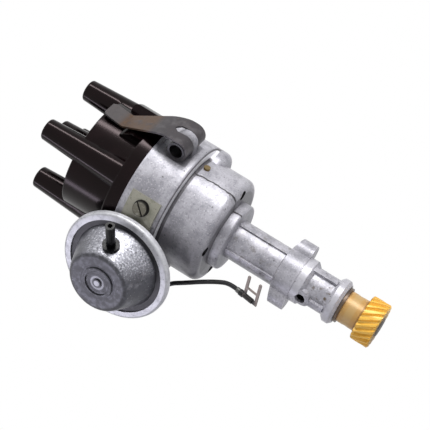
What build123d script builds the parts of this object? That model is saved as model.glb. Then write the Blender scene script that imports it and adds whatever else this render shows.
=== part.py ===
from build123d import *
import os
from math import atan2, cos, degrees, hypot, pi, radians, sin, tan

# Ignition distributor with a skew drive gear, vacuum advance and centrifugal advance.
# Millimetres. +Z runs along the shaft towards the cap, and the origin is on the shaft's axis at
# the seat of the clamp flange. Azimuths are degrees from -Y towards +X.

# ---------------------------------------------------------------- clearances
RUN_GAP = 0.05       # radial, a pin or shaft that turns in its bore
FREE_GAP = 0.3       # between pieces that pass without touching
SLIP_GAP = 0.15      # between pieces that slide face to face
END_FLOAT = 0.2      # shaft's free play along its axis

# ---------------------------------------------------------------- shank and flange
PILOT_R = 13.9
PILOT_L = 7.3
TUBE_R = 11.25
TUBE_L = 13.8
COLLAR_R = 13.9
COLLAR_L = 7.0
COLLAR_CHAMFER = 1.8
FLANGE_R = 14.6
FLANGE_T = 9.2
EAR_REACH = 20.8
EAR_W = 15.0
EAR_SLOPE = 20.0     # degrees, fall of the flange's upper face towards the ear's tip
NECK_R = 12.1
NECK_L = 34.8
RIB_R = 13.2
RIB_W = 3.6
RIB_COUNT = 4
RIB_AZIMUTH = 45.0
OIL_AZIMUTH = -47.0
OIL_Z = -7.1
OIL_R = 3.1
OIL_BOSS_R = 5.6
OIL_BOSS_REACH = 13.5

# ---------------------------------------------------------------- bowl and cup
DISC_R = 20.75
DISC_T = 6.3
DISC_ROUND = 1.4
BOWL_R = 33.1
BOWL_H = 28.5
BOWL_WALL = 3.7
BOWL_ROUND = 4.6
FLOOR_T = 3.7
CUP_STEP = 6.9
CUP_H = 26.1
CUP_WALL = 4.6
CUP_ROUND = 1.7
LEDGE_T = 3.2
LOBE_R = 13.0
LOBE_DROP = 9.3
LOBE_ROUND = 5.0
VENT_R = 2.9
VENT_INSET = 5.6
VENT_COUNT = 4
VENT_AZIMUTH = 57.0

# ---------------------------------------------------------------- shaft, bushes and drive gear
SHAFT_R = 6.35
SHAFT_TAIL = 0.7
BUSH_WALL = 1.85
UPPER_BUSH_L = 21.0
LOWER_BUSH_L = 18.0
BUSH_PROUD = 1.2
WASHER_R = 11.0
WASHER_T = 1.6
HUB_R = 9.7
HUB_L = 11.6
GEAR_TIP_R = 13.8
GEAR_W = 11.3
GEAR_TEETH = 20
GEAR_HELIX = 30.0    # degrees, left-hand
TOOTH_H = 1.9
GEAR_PIN_R = 2.0

# ---------------------------------------------------------------- governor
PLATE_R = 24.0
PLATE_T = 2.0
GOV_WASHER_T = 0.8
SPINDLE_R = 4.0
WEIGHT_T = 4.5
WEIGHT_IN = 10.8
WEIGHT_OUT = 22.4
WEIGHT_PIVOT_R = 17.6
WEIGHT_PIN_R = 2.0
WEIGHT_TAIL = 14.0   # degrees of arc behind the pivot
WEIGHT_SPAN = 138.0  # degrees of arc ahead of the pivot
DRIVE_PIN_R = 1.5
DRIVE_PIN_AT = 11.0
DRIVE_PIN_H = 2.6
SPRING_POST_R = 1.2
SPRING_POST_RING = 20.0
SPRING_POST_ANGLE = 154.0
SPRING_WIRE = 0.6
SPRING_R = 2.0
SPRING_COILS = 7

# ---------------------------------------------------------------- cam and rotor
YOKE_T = 2.0
YOKE_W = 13.0
YOKE_REACH = 18.0
CAM_SLEEVE_R = 6.8
CAM_SLEEVE_L = 20.9
CAM_FLAT_R = 9.2
CAM_LOBE_R = 11.4
CAM_LOBE_H = 10.0
CAM_NECK_L = 13.5
CAM_COUNTERBORE_R = 5.4
CAM_COUNTERBORE_L = 11.0
CAM_SCREW_HEAD_R = 4.8
CAM_SCREW_HEAD_H = 2.6
CAM_SCREW_R = 2.0
CAM_SCREW_L = 9.0
WICK_L = 3.5
KEY_W = 2.4
KEY_DEPTH = 1.2
KEY_L = 7.0
ROTOR_SKIRT_R = 10.2
ROTOR_SKIRT_L = 12.8
ROTOR_TOP_T = 8.5
ROTOR_ARM_W = 13.0
BLADE_PROUD = 2.7
BLADE_T = 1.2
BLADE_W = 7.0
BLADE_TAIL = 4.5
SPARK_GAP = 0.5

# ---------------------------------------------------------------- breaker plates and contacts
BASE_T = 1.4
BASE_HUB_R = 14.5
BASE_HUB_WALL = 1.1
BASE_HUB_H = 1.6
BASE_SCREW_R = 1.6
BASE_SCREW_L = 7.0
BASE_SCREW_HEAD_R = 2.7
BASE_SCREW_HEAD_H = 2.0
BREAKER_CLEAR = 1.1
BREAKER_T = 1.4
HEEL_W = 2.4
HEEL_T = 2.6
HEEL_H = 3.0
ARM_T = 2.8
ARM_H = 6.0
ARM_PIVOT_INSET = 11.6
ARM_BOSS_R = 3.9
POST_R = 2.0
POST_HEAD_T = 0.9
CONTACT_INSET = 14.6
CONTACT_R = 2.2
CONTACT_T = 1.0
POINT_GAP = 0.4
BRACKET_UP_W = 7.0
BRACKET_UP_T = 1.2
BRACKET_FOOT_T = 1.2
BRACKET_FOOT_L = 13.0
LOCK_SCREW_R = 1.5
LOCK_SCREW_HEAD_R = 2.8
LOCK_SCREW_HEAD_H = 1.5
CONDENSER_R = 7.0
CONDENSER_L = 19.0
CONDENSER_GAP = 2.2
CONDENSER_AZIMUTH = 165.0

# ---------------------------------------------------------------- cap
CAP_FLANGE_PROUD = 0.2
CAP_FLANGE_T = 8.4
CAP_FLANGE_ROUND = 1.2
CAP_STEP = 6.1
CAP_BARREL_H = 29.2
CAP_WALL = 4.1
CAP_ROOF_T = 5.0
SPIGOT_L = 2.6
TOWER_INSET = 4.6
TOWER_COUNT = 4
TOWER_AZIMUTH = -5.0
TOWER_R = 6.6
TOWER_TAPER = 3.1    # degrees
TOWER_H = 23.5
TOWER_ROUND = 1.5
CENTRE_TOWER_R = 7.4
CENTRE_TOWER_H = 25.7
SOCKET_R = 4.0
SOCKET_DEPTH = 20.0
BOSS_R = 7.0
BOSS_L = 8.0
PAD_HALF_W = 10.6
PAD_PROUD = 4.1
KEY_BLOCK_W = 15.0
KEY_BLOCK_H = 21.0
KEY_BLOCK_ROUND = 3.0
KEY_BLOCK_AZIMUTH = 84.0
TERMINAL_R = 2.5
ELECTRODE_R = 3.3
ELECTRODE_H = 10.0
BRUSH_R = 2.5
BRUSH_SPRING_WIRE = 0.5

# ---------------------------------------------------------------- spring clips
CLIP_AZIMUTH = 45.0
CLIP_COUNT = 2
CLIP_T = 1.1
CLIP_BEND_R = 2.5
CLIP_ARCH_R = 30.0
CLIP_WRAP = 255.0    # degrees of loop around the pivot
STRAP_LEAN = 30.0    # degrees from upright
CLIP_PIVOT_OUT = 5.4
CLIP_PIVOT_UP = 12.2
PIVOT_TUBE_R = 5.45
PIVOT_TUBE_WALL = 1.3
FORK_W = 21.8
FORK_GAP = 5.8
FORK_ROOT_UP = 8.5
NOSE_W = 12.4
NOSE_CLEAR = 0.6
NOSE_UP = 15.0
TAB_OUT = 2.2
TAB_DROP = 0.9
LUG_R = 6.6

# ---------------------------------------------------------------- vacuum unit
UNIT_AZIMUTH = -38.5
UNIT_OFFSET = 25.4   # from the shaft's axis to the unit's axis
UNIT_UP = 12.2
RIM_OUT = 3.7
RIM_R = 34.2
RIM_LIP = 2.2
RIM_W = 4.6
RIM_ROUND = 1.5
SHELL_T = 0.9
RIM_SKIN = 2.2
BACK_STEP = 5.0
DOME_GROOVE = 3.4
DOME_DRAFT = 7.8
DOME_H = 21.5
DOME_ROUND = 3.5
DOME_RING_R = 9.8
DOME_RING_W = 2.2
DOME_RING_H = 0.8
DOME_PIN_R = 2.6
DIAPHRAGM_T = 1.0
CUP_PLATE_R = 18.0
CUP_PLATE_T = 0.8
ROD_R = 1.5
ROD_EYE_R = 3.6
ROD_EYE_T = 2.4
LINK_POST_R = 1.8
LINK_GAP = 0.25
LINK_LEAD = 4.0      # degrees that the link post stands short of square at rest
SPIGOT_TUBE_R = 6.0
SPIGOT_TUBE_WALL = 1.2
SPIGOT_TUBE_L = 13.5
VAC_SPRING_R = 8.0
VAC_SPRING_WIRE = 1.4
VAC_SPRING_TURNS = 4
NIPPLE_R = 2.7
NIPPLE_BORE_R = 1.4
NIPPLE_L = 20.0
NIPPLE_COLLAR_R = 5.0
NIPPLE_COLLAR_T = 2.2
NIPPLE_STATION = 12.0
NIPPLE_CLOCK = 6.0   # degrees above level, about the unit's axis
BRACKET_T = 1.5
BRACKET_H = 19.0
BRACKET_EDGE_AZIMUTH = -7.7
BRACKET_TAIL = 47.0
BRACKET_SCREW_AZIMUTH = -18.0
BRACKET_SCREW_R = 2.0
BRACKET_SCREW_HEAD_R = 4.2
BRACKET_SCREW_HEAD_H = 2.4
BRACKET_SCREW_L = 5.0
BRACKET_WASHER_R = 4.9
BRACKET_WASHER_T = 0.5
SLOT_W = 1.0
SLOT_DEPTH = 1.0
PLUG_AZIMUTH = 50.0
PLUG_DROP = 3.8
PLUG_R = 2.0
PLUG_L = 4.0
PLUG_PROUD = 1.2

# ---------------------------------------------------------------- low-tension lead
LEAD_R = 1.35
GROMMET_AZIMUTH = -105.0
GROMMET_UP = 11.2
GROMMET_R = 4.0
GROMMET_LIP_R = 5.2
GROMMET_LIP_T = 1.2
LEAD_ROUTE = [
    (-39.8, 10.66, 90.0),
    (-49.6, 13.29, 90.0),
    (-56.5, 11.8, 82.0),
    (-53.4, 6.2, 70.5),
    (-42.6, -0.6, 64.4),
    (-36.2, -5.0, 54.0),
    (-31.3, -6.6, 46.8),
    (-26.4, -5.2, 39.0),
    (-23.4, -4.5, 32.4),
    (-24.04, -6.0, 26.63),
]
CRIMP_R = 1.7
CRIMP_L = 2.4
SLEEVE_R = 2.0
SLEEVE_L = 2.6
FORK_T = 0.8
FORK_TERMINAL_W = 10.4
FORK_PRONG_L = 15.0
FORK_PRONG_W = 1.8
FORK_BASE_W = 2.6
FORK_BAR_AT = 6.0
FORK_BAR_W = 1.1
FORK_BARREL_R = 1.6
FORK_BARREL_L = 7.0
FORK_PRONG_AXIS = (0.740, -0.667, 0.091)

# ---------------------------------------------------------------- stations worked out from the sizes
FLANGE_TOP = FLANGE_T
DISC_LOW = FLANGE_TOP + NECK_L
BOWL_LOW = DISC_LOW + DISC_T
CUP_LOW = BOWL_LOW + BOWL_H
RIM_Z = CUP_LOW + CUP_H
FLOOR_Z = BOWL_LOW + FLOOR_T
LEDGE_Z = CUP_LOW + LEDGE_T
TUBE_TOP = -PILOT_L
COLLAR_TOP = TUBE_TOP - TUBE_L
SHANK_END = COLLAR_TOP - COLLAR_L
BOWL_IN_R = BOWL_R - BOWL_WALL
VENT_RING_R = BOWL_R - VENT_INSET
CUP_R = BOWL_R + CUP_STEP
CUP_IN_R = CUP_R - CUP_WALL
BUSH_R = SHAFT_R + RUN_GAP + BUSH_WALL
BUSH_TOP = FLOOR_Z + BUSH_PROUD
LEDGE_MID_R = (BOWL_IN_R + CUP_IN_R) / 2

WASHER_TOP = SHANK_END - END_FLOAT
HUB_TOP = WASHER_TOP - WASHER_T
GEAR_TOP = HUB_TOP - HUB_L
GEAR_LOW = GEAR_TOP - GEAR_W
SHAFT_LOW = GEAR_LOW - SHAFT_TAIL

PLATE_LOW = BUSH_TOP + END_FLOAT + GOV_WASHER_T
PLATE_TOP = PLATE_LOW + PLATE_T
WEIGHT_LOW = PLATE_TOP + FREE_GAP
WEIGHT_TOP = WEIGHT_LOW + WEIGHT_T
YOKE_LOW = WEIGHT_TOP + FREE_GAP
YOKE_TOP = YOKE_LOW + YOKE_T
LOBE_LOW = YOKE_TOP + CAM_SLEEVE_L
LOBE_TOP = LOBE_LOW + CAM_LOBE_H
CAM_TOP = LOBE_TOP + CAM_NECK_L
COUNTERBORE_Z = CAM_TOP - CAM_COUNTERBORE_L
SPINDLE_TOP = COUNTERBORE_Z + SLIP_GAP
SPRING_Z = YOKE_TOP + FREE_GAP + SPRING_R

BASE_TOP = LEDGE_Z + BASE_T
BREAKER_LOW = BASE_TOP + FREE_GAP
BREAKER_TOP = BREAKER_LOW + BREAKER_T
BREAKER_R = LEDGE_MID_R - BASE_SCREW_HEAD_R - BREAKER_CLEAR
ARM_OFFSET = CAM_LOBE_R + HEEL_H    # inner face of the contact arm, from the shaft's axis
ARM_PIVOT_AT = ARM_PIVOT_INSET - BREAKER_R
CONTACT_AT = BREAKER_R - CONTACT_INSET
CONDENSER_RING = CAM_LOBE_R + CONDENSER_GAP + CONDENSER_R
ARM_LOW = LOBE_LOW + (CAM_LOBE_H - ARM_H) / 2
ARM_TOP = ARM_LOW + ARM_H

CAP_FLANGE_TOP = RIM_Z + CAP_FLANGE_T
CAP_TOP = CAP_FLANGE_TOP + CAP_BARREL_H
CAP_FLANGE_R = CUP_R + CAP_FLANGE_PROUD
CAP_R = CAP_FLANGE_R - CAP_STEP
CAP_IN_R = CAP_R - CAP_WALL
ROOF_Z = CAP_TOP - CAP_ROOF_T
PAD_REACH = CAP_R + PAD_PROUD
TOWER_RING = CAP_R - TOWER_INSET
TOWER_TIP = CAP_TOP + TOWER_H
CENTRE_TIP = CAP_TOP + CENTRE_TOWER_H
ROTOR_LOW = LOBE_TOP + FREE_GAP
ROTOR_TOP = ROTOR_LOW + ROTOR_SKIRT_L + ROTOR_TOP_T
BLADE_TOP = ROTOR_TOP + BLADE_T
BLADE_REACH = TOWER_RING - ELECTRODE_R - SPARK_GAP
ROTOR_REACH = BLADE_REACH - BLADE_PROUD
ELECTRODE_LOW = BLADE_TOP - ELECTRODE_H / 2

CLIP_PIVOT_R = CUP_R + CLIP_PIVOT_OUT
CLIP_PIVOT_Z = CUP_LOW + CLIP_PIVOT_UP
FORK_ROOT_Z = CLIP_PIVOT_Z + FORK_ROOT_UP
NOSE_R = CAP_R + NOSE_CLEAR    # where the bend bears on the cap
NOSE_Z = CAP_FLANGE_TOP + NOSE_UP
TAB_REACH = NOSE_R + TAB_OUT
TAB_TOP_Z = CAP_TOP - TAB_DROP

UNIT_Z = CUP_LOW + UNIT_UP
PLUG_Z = CUP_LOW - PLUG_DROP
GROMMET_Z = CUP_LOW + GROMMET_UP
BRACKET_FACE = CUP_R + BRACKET_T
SPIGOT_TUBE_IN = BRACKET_FACE - SPIGOT_TUBE_L
RIM_PLANE = BRACKET_FACE + RIM_OUT
SHELL_FLANGE_R = RIM_R - RIM_SKIN
RIM_IN_R = SHELL_FLANGE_R - RIM_LIP
BACK_R = SHELL_FLANGE_R - BACK_STEP
DOME_BASE_R = RIM_IN_R - DOME_GROOVE
DOME_TOP_R = DOME_BASE_R - DOME_DRAFT
FRONT_FLANGE = RIM_PLANE + DIAPHRAGM_T / 2
BACK_FLANGE = RIM_PLANE - DIAPHRAGM_T / 2
DOME_FOOT = FRONT_FLANGE + SHELL_T
DOME_TOP = RIM_PLANE + DOME_H

LOW = (Align.CENTER, Align.CENTER, Align.MIN)


# ---------------------------------------------------------------- helpers
def at(radius, azimuth, z=0.0):
    """Point at a radius and an azimuth, measured from -Y towards +X."""
    return Vector(radius * sin(radians(azimuth)), -radius * cos(radians(azimuth)), z)


def facing(azimuth):
    """Turn that brings a piece made along +X to an azimuth."""
    return Rot(0, 0, azimuth - 90)


def bar(radius, low, high):
    """Upright round bar on the shaft's axis."""
    return Pos(0, 0, low) * Cylinder(radius, high - low, align=LOW)


def ring(outer, inner, low, high):
    """Upright ring on the shaft's axis."""
    return bar(outer, low, high) - bar(inner, low, high)


def block(x0, x1, y0, y1, z0, z1):
    """Box between two corners."""
    return Pos((x0 + x1) / 2, (y0 + y1) / 2, (z0 + z1) / 2) * Box(x1 - x0, y1 - y0, z1 - z0)


def turned(*points):
    """Solid of revolution about Z from an outline of (radius, z) points."""
    outline = make_face(Polyline(*points, close=True))
    return revolve(Plane.XZ * outline, Axis.Z)


def pin_along(start, direction, radius, length):
    """Round bar from a start point along a direction."""
    place = Plane(origin=Vector(start), z_dir=Vector(direction))
    return place.location * Cylinder(radius, length, align=LOW)


def spread(azimuth, count):
    """Evenly spaced azimuths."""
    return [azimuth + 360.0 * i / count for i in range(count)]


def bottom_edges(shape):
    return shape.edges().group_by(Axis.Z)[0]


def top_edges(shape):
    return shape.edges().group_by(Axis.Z)[-1]


def ring_stack(radius, wire, count, hollow):
    """Close-wound coil spring along Z from 0, as a stack of ridged turns."""
    pitch = 2 * wire
    outline = [(hollow, 0)]
    for i in range(count):
        outline.append((radius - wire, i * pitch))
        outline.append((radius, (i + 0.5) * pitch))
    outline.append((radius - wire, count * pitch))
    outline.append((hollow, count * pitch))
    return turned(*outline)


# ---------------------------------------------------------------- housing
def shank():
    """Pilot, lower tube, end collar, clamp flange and neck, with the four long ribs."""
    pilot = chamfer(bottom_edges(bar(PILOT_R, -PILOT_L, 0)), PILOT_R - TUBE_R - FREE_GAP)
    collar = bar(COLLAR_R, SHANK_END, COLLAR_TOP)
    collar = chamfer(top_edges(collar) + bottom_edges(collar), COLLAR_CHAMFER)
    body = pilot + collar + bar(TUBE_R, SHANK_END, 0) + bar(NECK_R, 0, BOWL_LOW)
    slope = tan(radians(EAR_SLOPE))
    crown = FLANGE_TOP + (EAR_REACH - NECK_R) * slope
    flange_form = turned((0, 0), (EAR_REACH, 0), (EAR_REACH, FLANGE_TOP), (NECK_R, crown), (0, crown))
    ears = extrude(SlotOverall(2 * EAR_REACH, EAR_W), crown) + bar(FLANGE_R, 0, crown)
    body += ears & flange_form
    for azimuth in spread(RIB_AZIMUTH, RIB_COUNT):
        rib = facing(azimuth) * block(0, RIB_R, -RIB_W / 2, RIB_W / 2, COLLAR_TOP, BOWL_LOW)
        body += rib & bar(RIB_R, COLLAR_TOP, BOWL_LOW)
    oil_boss = pin_along(at(0, 0, OIL_Z), at(1, OIL_AZIMUTH), OIL_BOSS_R, OIL_BOSS_REACH)
    return body + (oil_boss & bar(OIL_BOSS_REACH, COLLAR_TOP, 0))


def clip_lug():
    """Cast lug between the arms of one clip, with the bore for the pivot tube."""
    half = FORK_GAP / 2 - FREE_GAP
    web = block(CUP_IN_R + 1, CLIP_PIVOT_R, -half, half, CLIP_PIVOT_Z - LUG_R, CLIP_PIVOT_Z + LUG_R)
    nose = pin_along((CLIP_PIVOT_R, -half, CLIP_PIVOT_Z), (0, 1, 0), LUG_R, 2 * half)
    bore = pin_along((CLIP_PIVOT_R, -half, CLIP_PIVOT_Z), (0, 1, 0), PIVOT_TUBE_R, 2 * half)
    return web + nose - bore


def clip_pocket():
    """Flat on the cup that gives the clip's loop room to turn."""
    loop_r = PIVOT_TUBE_R + RUN_GAP + CLIP_T
    face = CLIP_PIVOT_R - loop_r - 1.5 * FREE_GAP
    half = FORK_W / 2 + 2 * FREE_GAP
    low = CLIP_PIVOT_Z - loop_r - 1.5
    high = CLIP_PIVOT_Z + loop_r + 5
    return block(face, CUP_R + 1, -half, half, low, high)


def make_housing():
    """One aluminium casting: shank, bowl and cup."""
    disc = fillet(bottom_edges(bar(DISC_R, DISC_LOW, BOWL_LOW + 1)), DISC_ROUND)
    bowl = fillet(bottom_edges(bar(BOWL_R, BOWL_LOW, CUP_LOW + 1)), BOWL_ROUND)
    cup = fillet(bottom_edges(bar(CUP_R, CUP_LOW, RIM_Z)), CUP_ROUND)
    body = shank() + disc + bowl + cup
    for side in (90, -90):
        lobe = Pos(CUP_R - LOBE_R, 0, CUP_LOW - LOBE_DROP)
        lobe *= Cylinder(LOBE_R, LOBE_DROP + 2, align=LOW)
        body += facing(side) * fillet(bottom_edges(lobe), LOBE_ROUND)
    body -= bar(BOWL_IN_R, FLOOR_Z, RIM_Z)
    body -= bar(CUP_IN_R, LEDGE_Z, RIM_Z)
    body -= bar(BUSH_R, BUSH_TOP - UPPER_BUSH_L, FLOOR_Z)
    body -= bar(SHAFT_R + 1, SHANK_END, FLOOR_Z)
    body -= bar(BUSH_R, SHANK_END, SHANK_END + LOWER_BUSH_L)
    for azimuth in spread(VENT_AZIMUTH, VENT_COUNT):
        vent = Pos(*at(VENT_RING_R, azimuth, BOWL_LOW - 1))
        body -= vent * Cylinder(VENT_R, FLOOR_T + 1, align=LOW)
    oil_hole = pin_along(at(0, 0, OIL_Z), at(1, OIL_AZIMUTH), OIL_R, OIL_BOSS_REACH + 1)
    body -= oil_hole
    for azimuth in spread(CLIP_AZIMUTH, CLIP_COUNT):
        body -= facing(azimuth) * clip_pocket()
        body += facing(azimuth) * clip_lug()
    for side in (90, -90):
        screw_hole = Pos(*at(LEDGE_MID_R, side, LEDGE_Z - BASE_SCREW_L))
        body -= screw_hole * Cylinder(BASE_SCREW_R, BASE_SCREW_L, align=LOW)
    body -= unit_axis_bar(SPIGOT_TUBE_R, SPIGOT_TUBE_IN - 8, CUP_R)
    body -= bracket_screw_bar(BRACKET_SCREW_R, CUP_R + BRACKET_T - BRACKET_SCREW_L, CUP_R + 1)
    body -= pin_along(at(CUP_IN_R - 1, GROMMET_AZIMUTH, GROMMET_Z), at(1, GROMMET_AZIMUTH), GROMMET_R,
                      CUP_WALL + 2)
    body -= pin_along(at(BOWL_R + PLUG_PROUD - PLUG_L, PLUG_AZIMUTH, PLUG_Z), at(1, PLUG_AZIMUTH), PLUG_R,
                      PLUG_L)
    return body


# ---------------------------------------------------------------- shaft, bushes and gear
def make_upper_bush():
    return ring(BUSH_R, SHAFT_R + RUN_GAP, BUSH_TOP - UPPER_BUSH_L, BUSH_TOP)


def make_lower_bush():
    return ring(BUSH_R, SHAFT_R + RUN_GAP, SHANK_END, SHANK_END + LOWER_BUSH_L)


def gear_pin_bar(length):
    return pin_along((-length / 2, 0, (HUB_TOP + GEAR_TOP) / 2), (1, 0, 0), GEAR_PIN_R, length)


def make_drive_shaft():
    """Ground shaft with a thinner spindle for the cam at its upper end."""
    shaft = chamfer(bottom_edges(bar(SHAFT_R, SHAFT_LOW, PLATE_LOW)), SHAFT_TAIL)
    body = shaft + bar(SPINDLE_R, PLATE_LOW, SPINDLE_TOP)
    body -= gear_pin_bar(2 * HUB_R)
    return body - bar(CAM_SCREW_R, SPINDLE_TOP - CAM_SCREW_L, SPINDLE_TOP)


def make_drive_gear():
    """Skew gear with its hub, bored for the shaft and cross-drilled for the pin."""
    root_r = GEAR_TIP_R - TOOTH_H
    flank_r = GEAR_TIP_R - TOOTH_H / 2
    pitch = 360.0 / GEAR_TEETH
    half_tooth = [(root_r, 0.37), (flank_r, 0.24), (GEAR_TIP_R, 0.12)]
    tooth = [(radius, -share) for radius, share in half_tooth] + half_tooth[::-1]
    outline = []
    for i in range(GEAR_TEETH):
        for radius, share in tooth:
            angle = radians((i + share) * pitch)
            outline.append((radius * cos(angle), radius * sin(angle)))
    section = make_face(Polyline(*outline, close=True))
    twist = degrees(GEAR_W * tan(radians(GEAR_HELIX)) / GEAR_TIP_R)
    teeth = Solid.extrude_linear_with_rotation(section.face(), (0, 0, 0), (0, 0, GEAR_W), -twist)
    bevel = TOOTH_H / 3
    blank = turned((0, GEAR_LOW), (GEAR_TIP_R - bevel, GEAR_LOW), (GEAR_TIP_R + 1, GEAR_LOW + bevel + 1),
                   (GEAR_TIP_R + 1, GEAR_TOP - bevel - 1), (GEAR_TIP_R - bevel, GEAR_TOP), (0, GEAR_TOP))
    body = blank & (Pos(0, 0, GEAR_LOW) * teeth)
    body += bar(HUB_R, GEAR_TOP - 1, HUB_TOP)
    body -= bar(SHAFT_R, GEAR_LOW, HUB_TOP)
    return body - gear_pin_bar(2 * HUB_R)


def make_gear_pin():
    return gear_pin_bar(2 * (HUB_R - GEAR_PIN_R / 4))


def make_thrust_washer():
    return ring(WASHER_R, SHAFT_R, HUB_TOP, WASHER_TOP)


# ---------------------------------------------------------------- governor
def make_governor_washer():
    return ring(BUSH_R + 2, SHAFT_R, PLATE_LOW - GOV_WASHER_T, PLATE_LOW)


def polar(radius, angle):
    """Point at a radius and an ordinary angle from +X."""
    return (radius * cos(radians(angle)), radius * sin(radians(angle)))


def governor_post_places():
    return [polar(SPRING_POST_RING, SPRING_POST_ANGLE + turn) for turn in (0, 180)]


def yoke_post_places():
    half_w = YOKE_W / 2 - SPRING_POST_R - 0.8
    return [(-half_w, DRIVE_PIN_AT), (half_w, -DRIVE_PIN_AT)]


def make_governor_plate():
    """Disc pressed on the shaft's shoulder, bored for the two weight pins, with two spring posts."""
    body = ring(PLATE_R, SPINDLE_R, PLATE_LOW, PLATE_TOP)
    for side in (1, -1):
        body -= Pos(side * WEIGHT_PIVOT_R, 0, 0) * bar(WEIGHT_PIN_R, PLATE_LOW, PLATE_TOP)
    for x, y in governor_post_places():
        body += Pos(x, y, 0) * bar(SPRING_POST_R, PLATE_TOP, SPRING_Z + SPRING_POST_R)
    return body


def make_weight_pins():
    """Two pins, riveted in the governor plate, that the weights swing on."""
    pins = []
    for side in (1, -1):
        pins.append(Pos(side * WEIGHT_PIVOT_R, 0, 0) * bar(WEIGHT_PIN_R, PLATE_LOW, WEIGHT_TOP))
    return Compound(children=pins)


def make_weight(turn):
    """Crescent weight with its pivot bore and the pin that drives the yoke."""
    mid = (WEIGHT_IN + WEIGHT_OUT) / 2
    sector_reach = 2 * PLATE_R
    sweep = [polar(sector_reach, angle) for angle in
             (-WEIGHT_TAIL, (WEIGHT_SPAN - WEIGHT_TAIL) / 2, WEIGHT_SPAN)]
    sector = make_face(Polyline((0, 0), *sweep, close=True))
    band = ring(WEIGHT_OUT, WEIGHT_IN, WEIGHT_LOW, WEIGHT_TOP)
    body = band & (Pos(0, 0, WEIGHT_LOW) * extrude(sector, WEIGHT_T))
    body = fillet(body.edges().filter_by(Axis.Z), (WEIGHT_OUT - WEIGHT_IN) / 4)
    pivot = Pos(WEIGHT_PIVOT_R, 0, 0)
    body -= pivot * bar(WEIGHT_PIN_R + RUN_GAP, WEIGHT_LOW, WEIGHT_TOP)
    foot_w = mid - DRIVE_PIN_AT
    foot = block(-foot_w / 2, foot_w / 2, DRIVE_PIN_AT, mid, WEIGHT_LOW, WEIGHT_TOP)
    drive = Pos(0, DRIVE_PIN_AT, 0)
    body += foot + drive * bar(foot_w / 2, WEIGHT_LOW, WEIGHT_TOP)
    body += drive * bar(DRIVE_PIN_R, WEIGHT_TOP - 1, WEIGHT_TOP + DRIVE_PIN_H)
    return Rot(0, 0, turn) * body


def make_governor_springs():
    """Two tension springs between the governor plate's posts and the yoke's posts."""
    springs = []
    for start, end in zip(governor_post_places(), yoke_post_places()):
        span = hypot(end[0] - start[0], end[1] - start[1])
        heading = degrees(atan2(end[1] - start[1], end[0] - start[0]))
        eye_r = SPRING_POST_R + RUN_GAP + SPRING_WIRE
        length = 2 * SPRING_WIRE * SPRING_COILS
        coil = Pos((span - length) / 2, 0, 0) * Rot(0, 90, 0)
        coil *= ring_stack(SPRING_R, SPRING_WIRE, SPRING_COILS, SPRING_R - 1.6 * SPRING_WIRE)
        spring = coil
        for x, tail in ((0, 1), (span, -1)):
            eye = ring(eye_r, eye_r - SPRING_WIRE, -SPRING_WIRE / 2, SPRING_WIRE / 2)
            reach = (span - length) / 2 + SPRING_WIRE
            first = eye_r - SPRING_WIRE / 2
            tang = block(first, reach, -SPRING_WIRE / 2, SPRING_WIRE / 2, -SPRING_WIRE / 2, SPRING_WIRE / 2)
            plate = block(reach - SPRING_WIRE, reach, -SPRING_WIRE / 2, SPRING_R - SPRING_WIRE,
                          -SPRING_WIRE / 2, SPRING_WIRE / 2)
            spring += Pos(x, 0, 0) * Rot(0, 0, 0 if tail > 0 else 180) * (eye + tang + plate)
        springs.append(Pos(start[0], start[1], SPRING_Z) * Rot(0, 0, heading) * spring)
    return Compound(children=springs)


# ---------------------------------------------------------------- cam and rotor
def key_bar(gap):
    """Space or body of the key that drives the rotor arm."""
    low = CAM_TOP - KEY_L
    return block(CAM_SLEEVE_R - KEY_DEPTH - gap, CAM_SLEEVE_R + 1, -KEY_W / 2, KEY_W / 2, low, CAM_TOP)


def make_breaker_cam():
    """Four-lobe cam with the slotted yoke below it and the rotor's neck above it."""
    yoke = extrude(SlotOverall(2 * YOKE_REACH, YOKE_W, rotation=90), YOKE_T)
    body = Pos(0, 0, YOKE_LOW) * yoke + bar(CAM_SLEEVE_R, YOKE_LOW, CAM_TOP)
    lobes = block(-CAM_FLAT_R, CAM_FLAT_R, -CAM_FLAT_R, CAM_FLAT_R, LOBE_LOW, LOBE_TOP)
    body += lobes & bar(CAM_LOBE_R, LOBE_LOW, LOBE_TOP)
    slot_r = DRIVE_PIN_R + SLIP_GAP + RUN_GAP
    slot_low = DRIVE_PIN_AT - 2 * FREE_GAP
    slot_high = DRIVE_PIN_AT + 4.2
    slot = SlotCenterToCenter(slot_high - slot_low, 2 * slot_r, rotation=90)
    for side in (1, -1):
        place = Pos(0, side * (slot_low + slot_high) / 2, YOKE_LOW)
        body -= place * extrude(slot, YOKE_T)
    for x, y in yoke_post_places():
        body += Pos(x, y, 0) * bar(SPRING_POST_R, YOKE_TOP, SPRING_Z + SPRING_POST_R)
    body -= bar(SPINDLE_R + RUN_GAP, YOKE_LOW, COUNTERBORE_Z)
    body -= bar(CAM_COUNTERBORE_R, COUNTERBORE_Z, CAM_TOP)
    return body - key_bar(0)


def make_cam_screw():
    """Slotted screw in the spindle's end that keeps the cam on it."""
    head_top = SPINDLE_TOP + CAM_SCREW_HEAD_H
    body = (bar(CAM_SCREW_HEAD_R, SPINDLE_TOP, head_top)
            + bar(CAM_SCREW_R, SPINDLE_TOP - CAM_SCREW_L + 1, SPINDLE_TOP))
    return body - block(-CAM_SCREW_HEAD_R, CAM_SCREW_HEAD_R, -SLOT_W / 2, SLOT_W / 2, head_top - SLOT_DEPTH,
                        head_top)


def make_felt_wick():
    return bar(CAM_COUNTERBORE_R, CAM_TOP - WICK_L - 1, CAM_TOP - 1)


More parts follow.
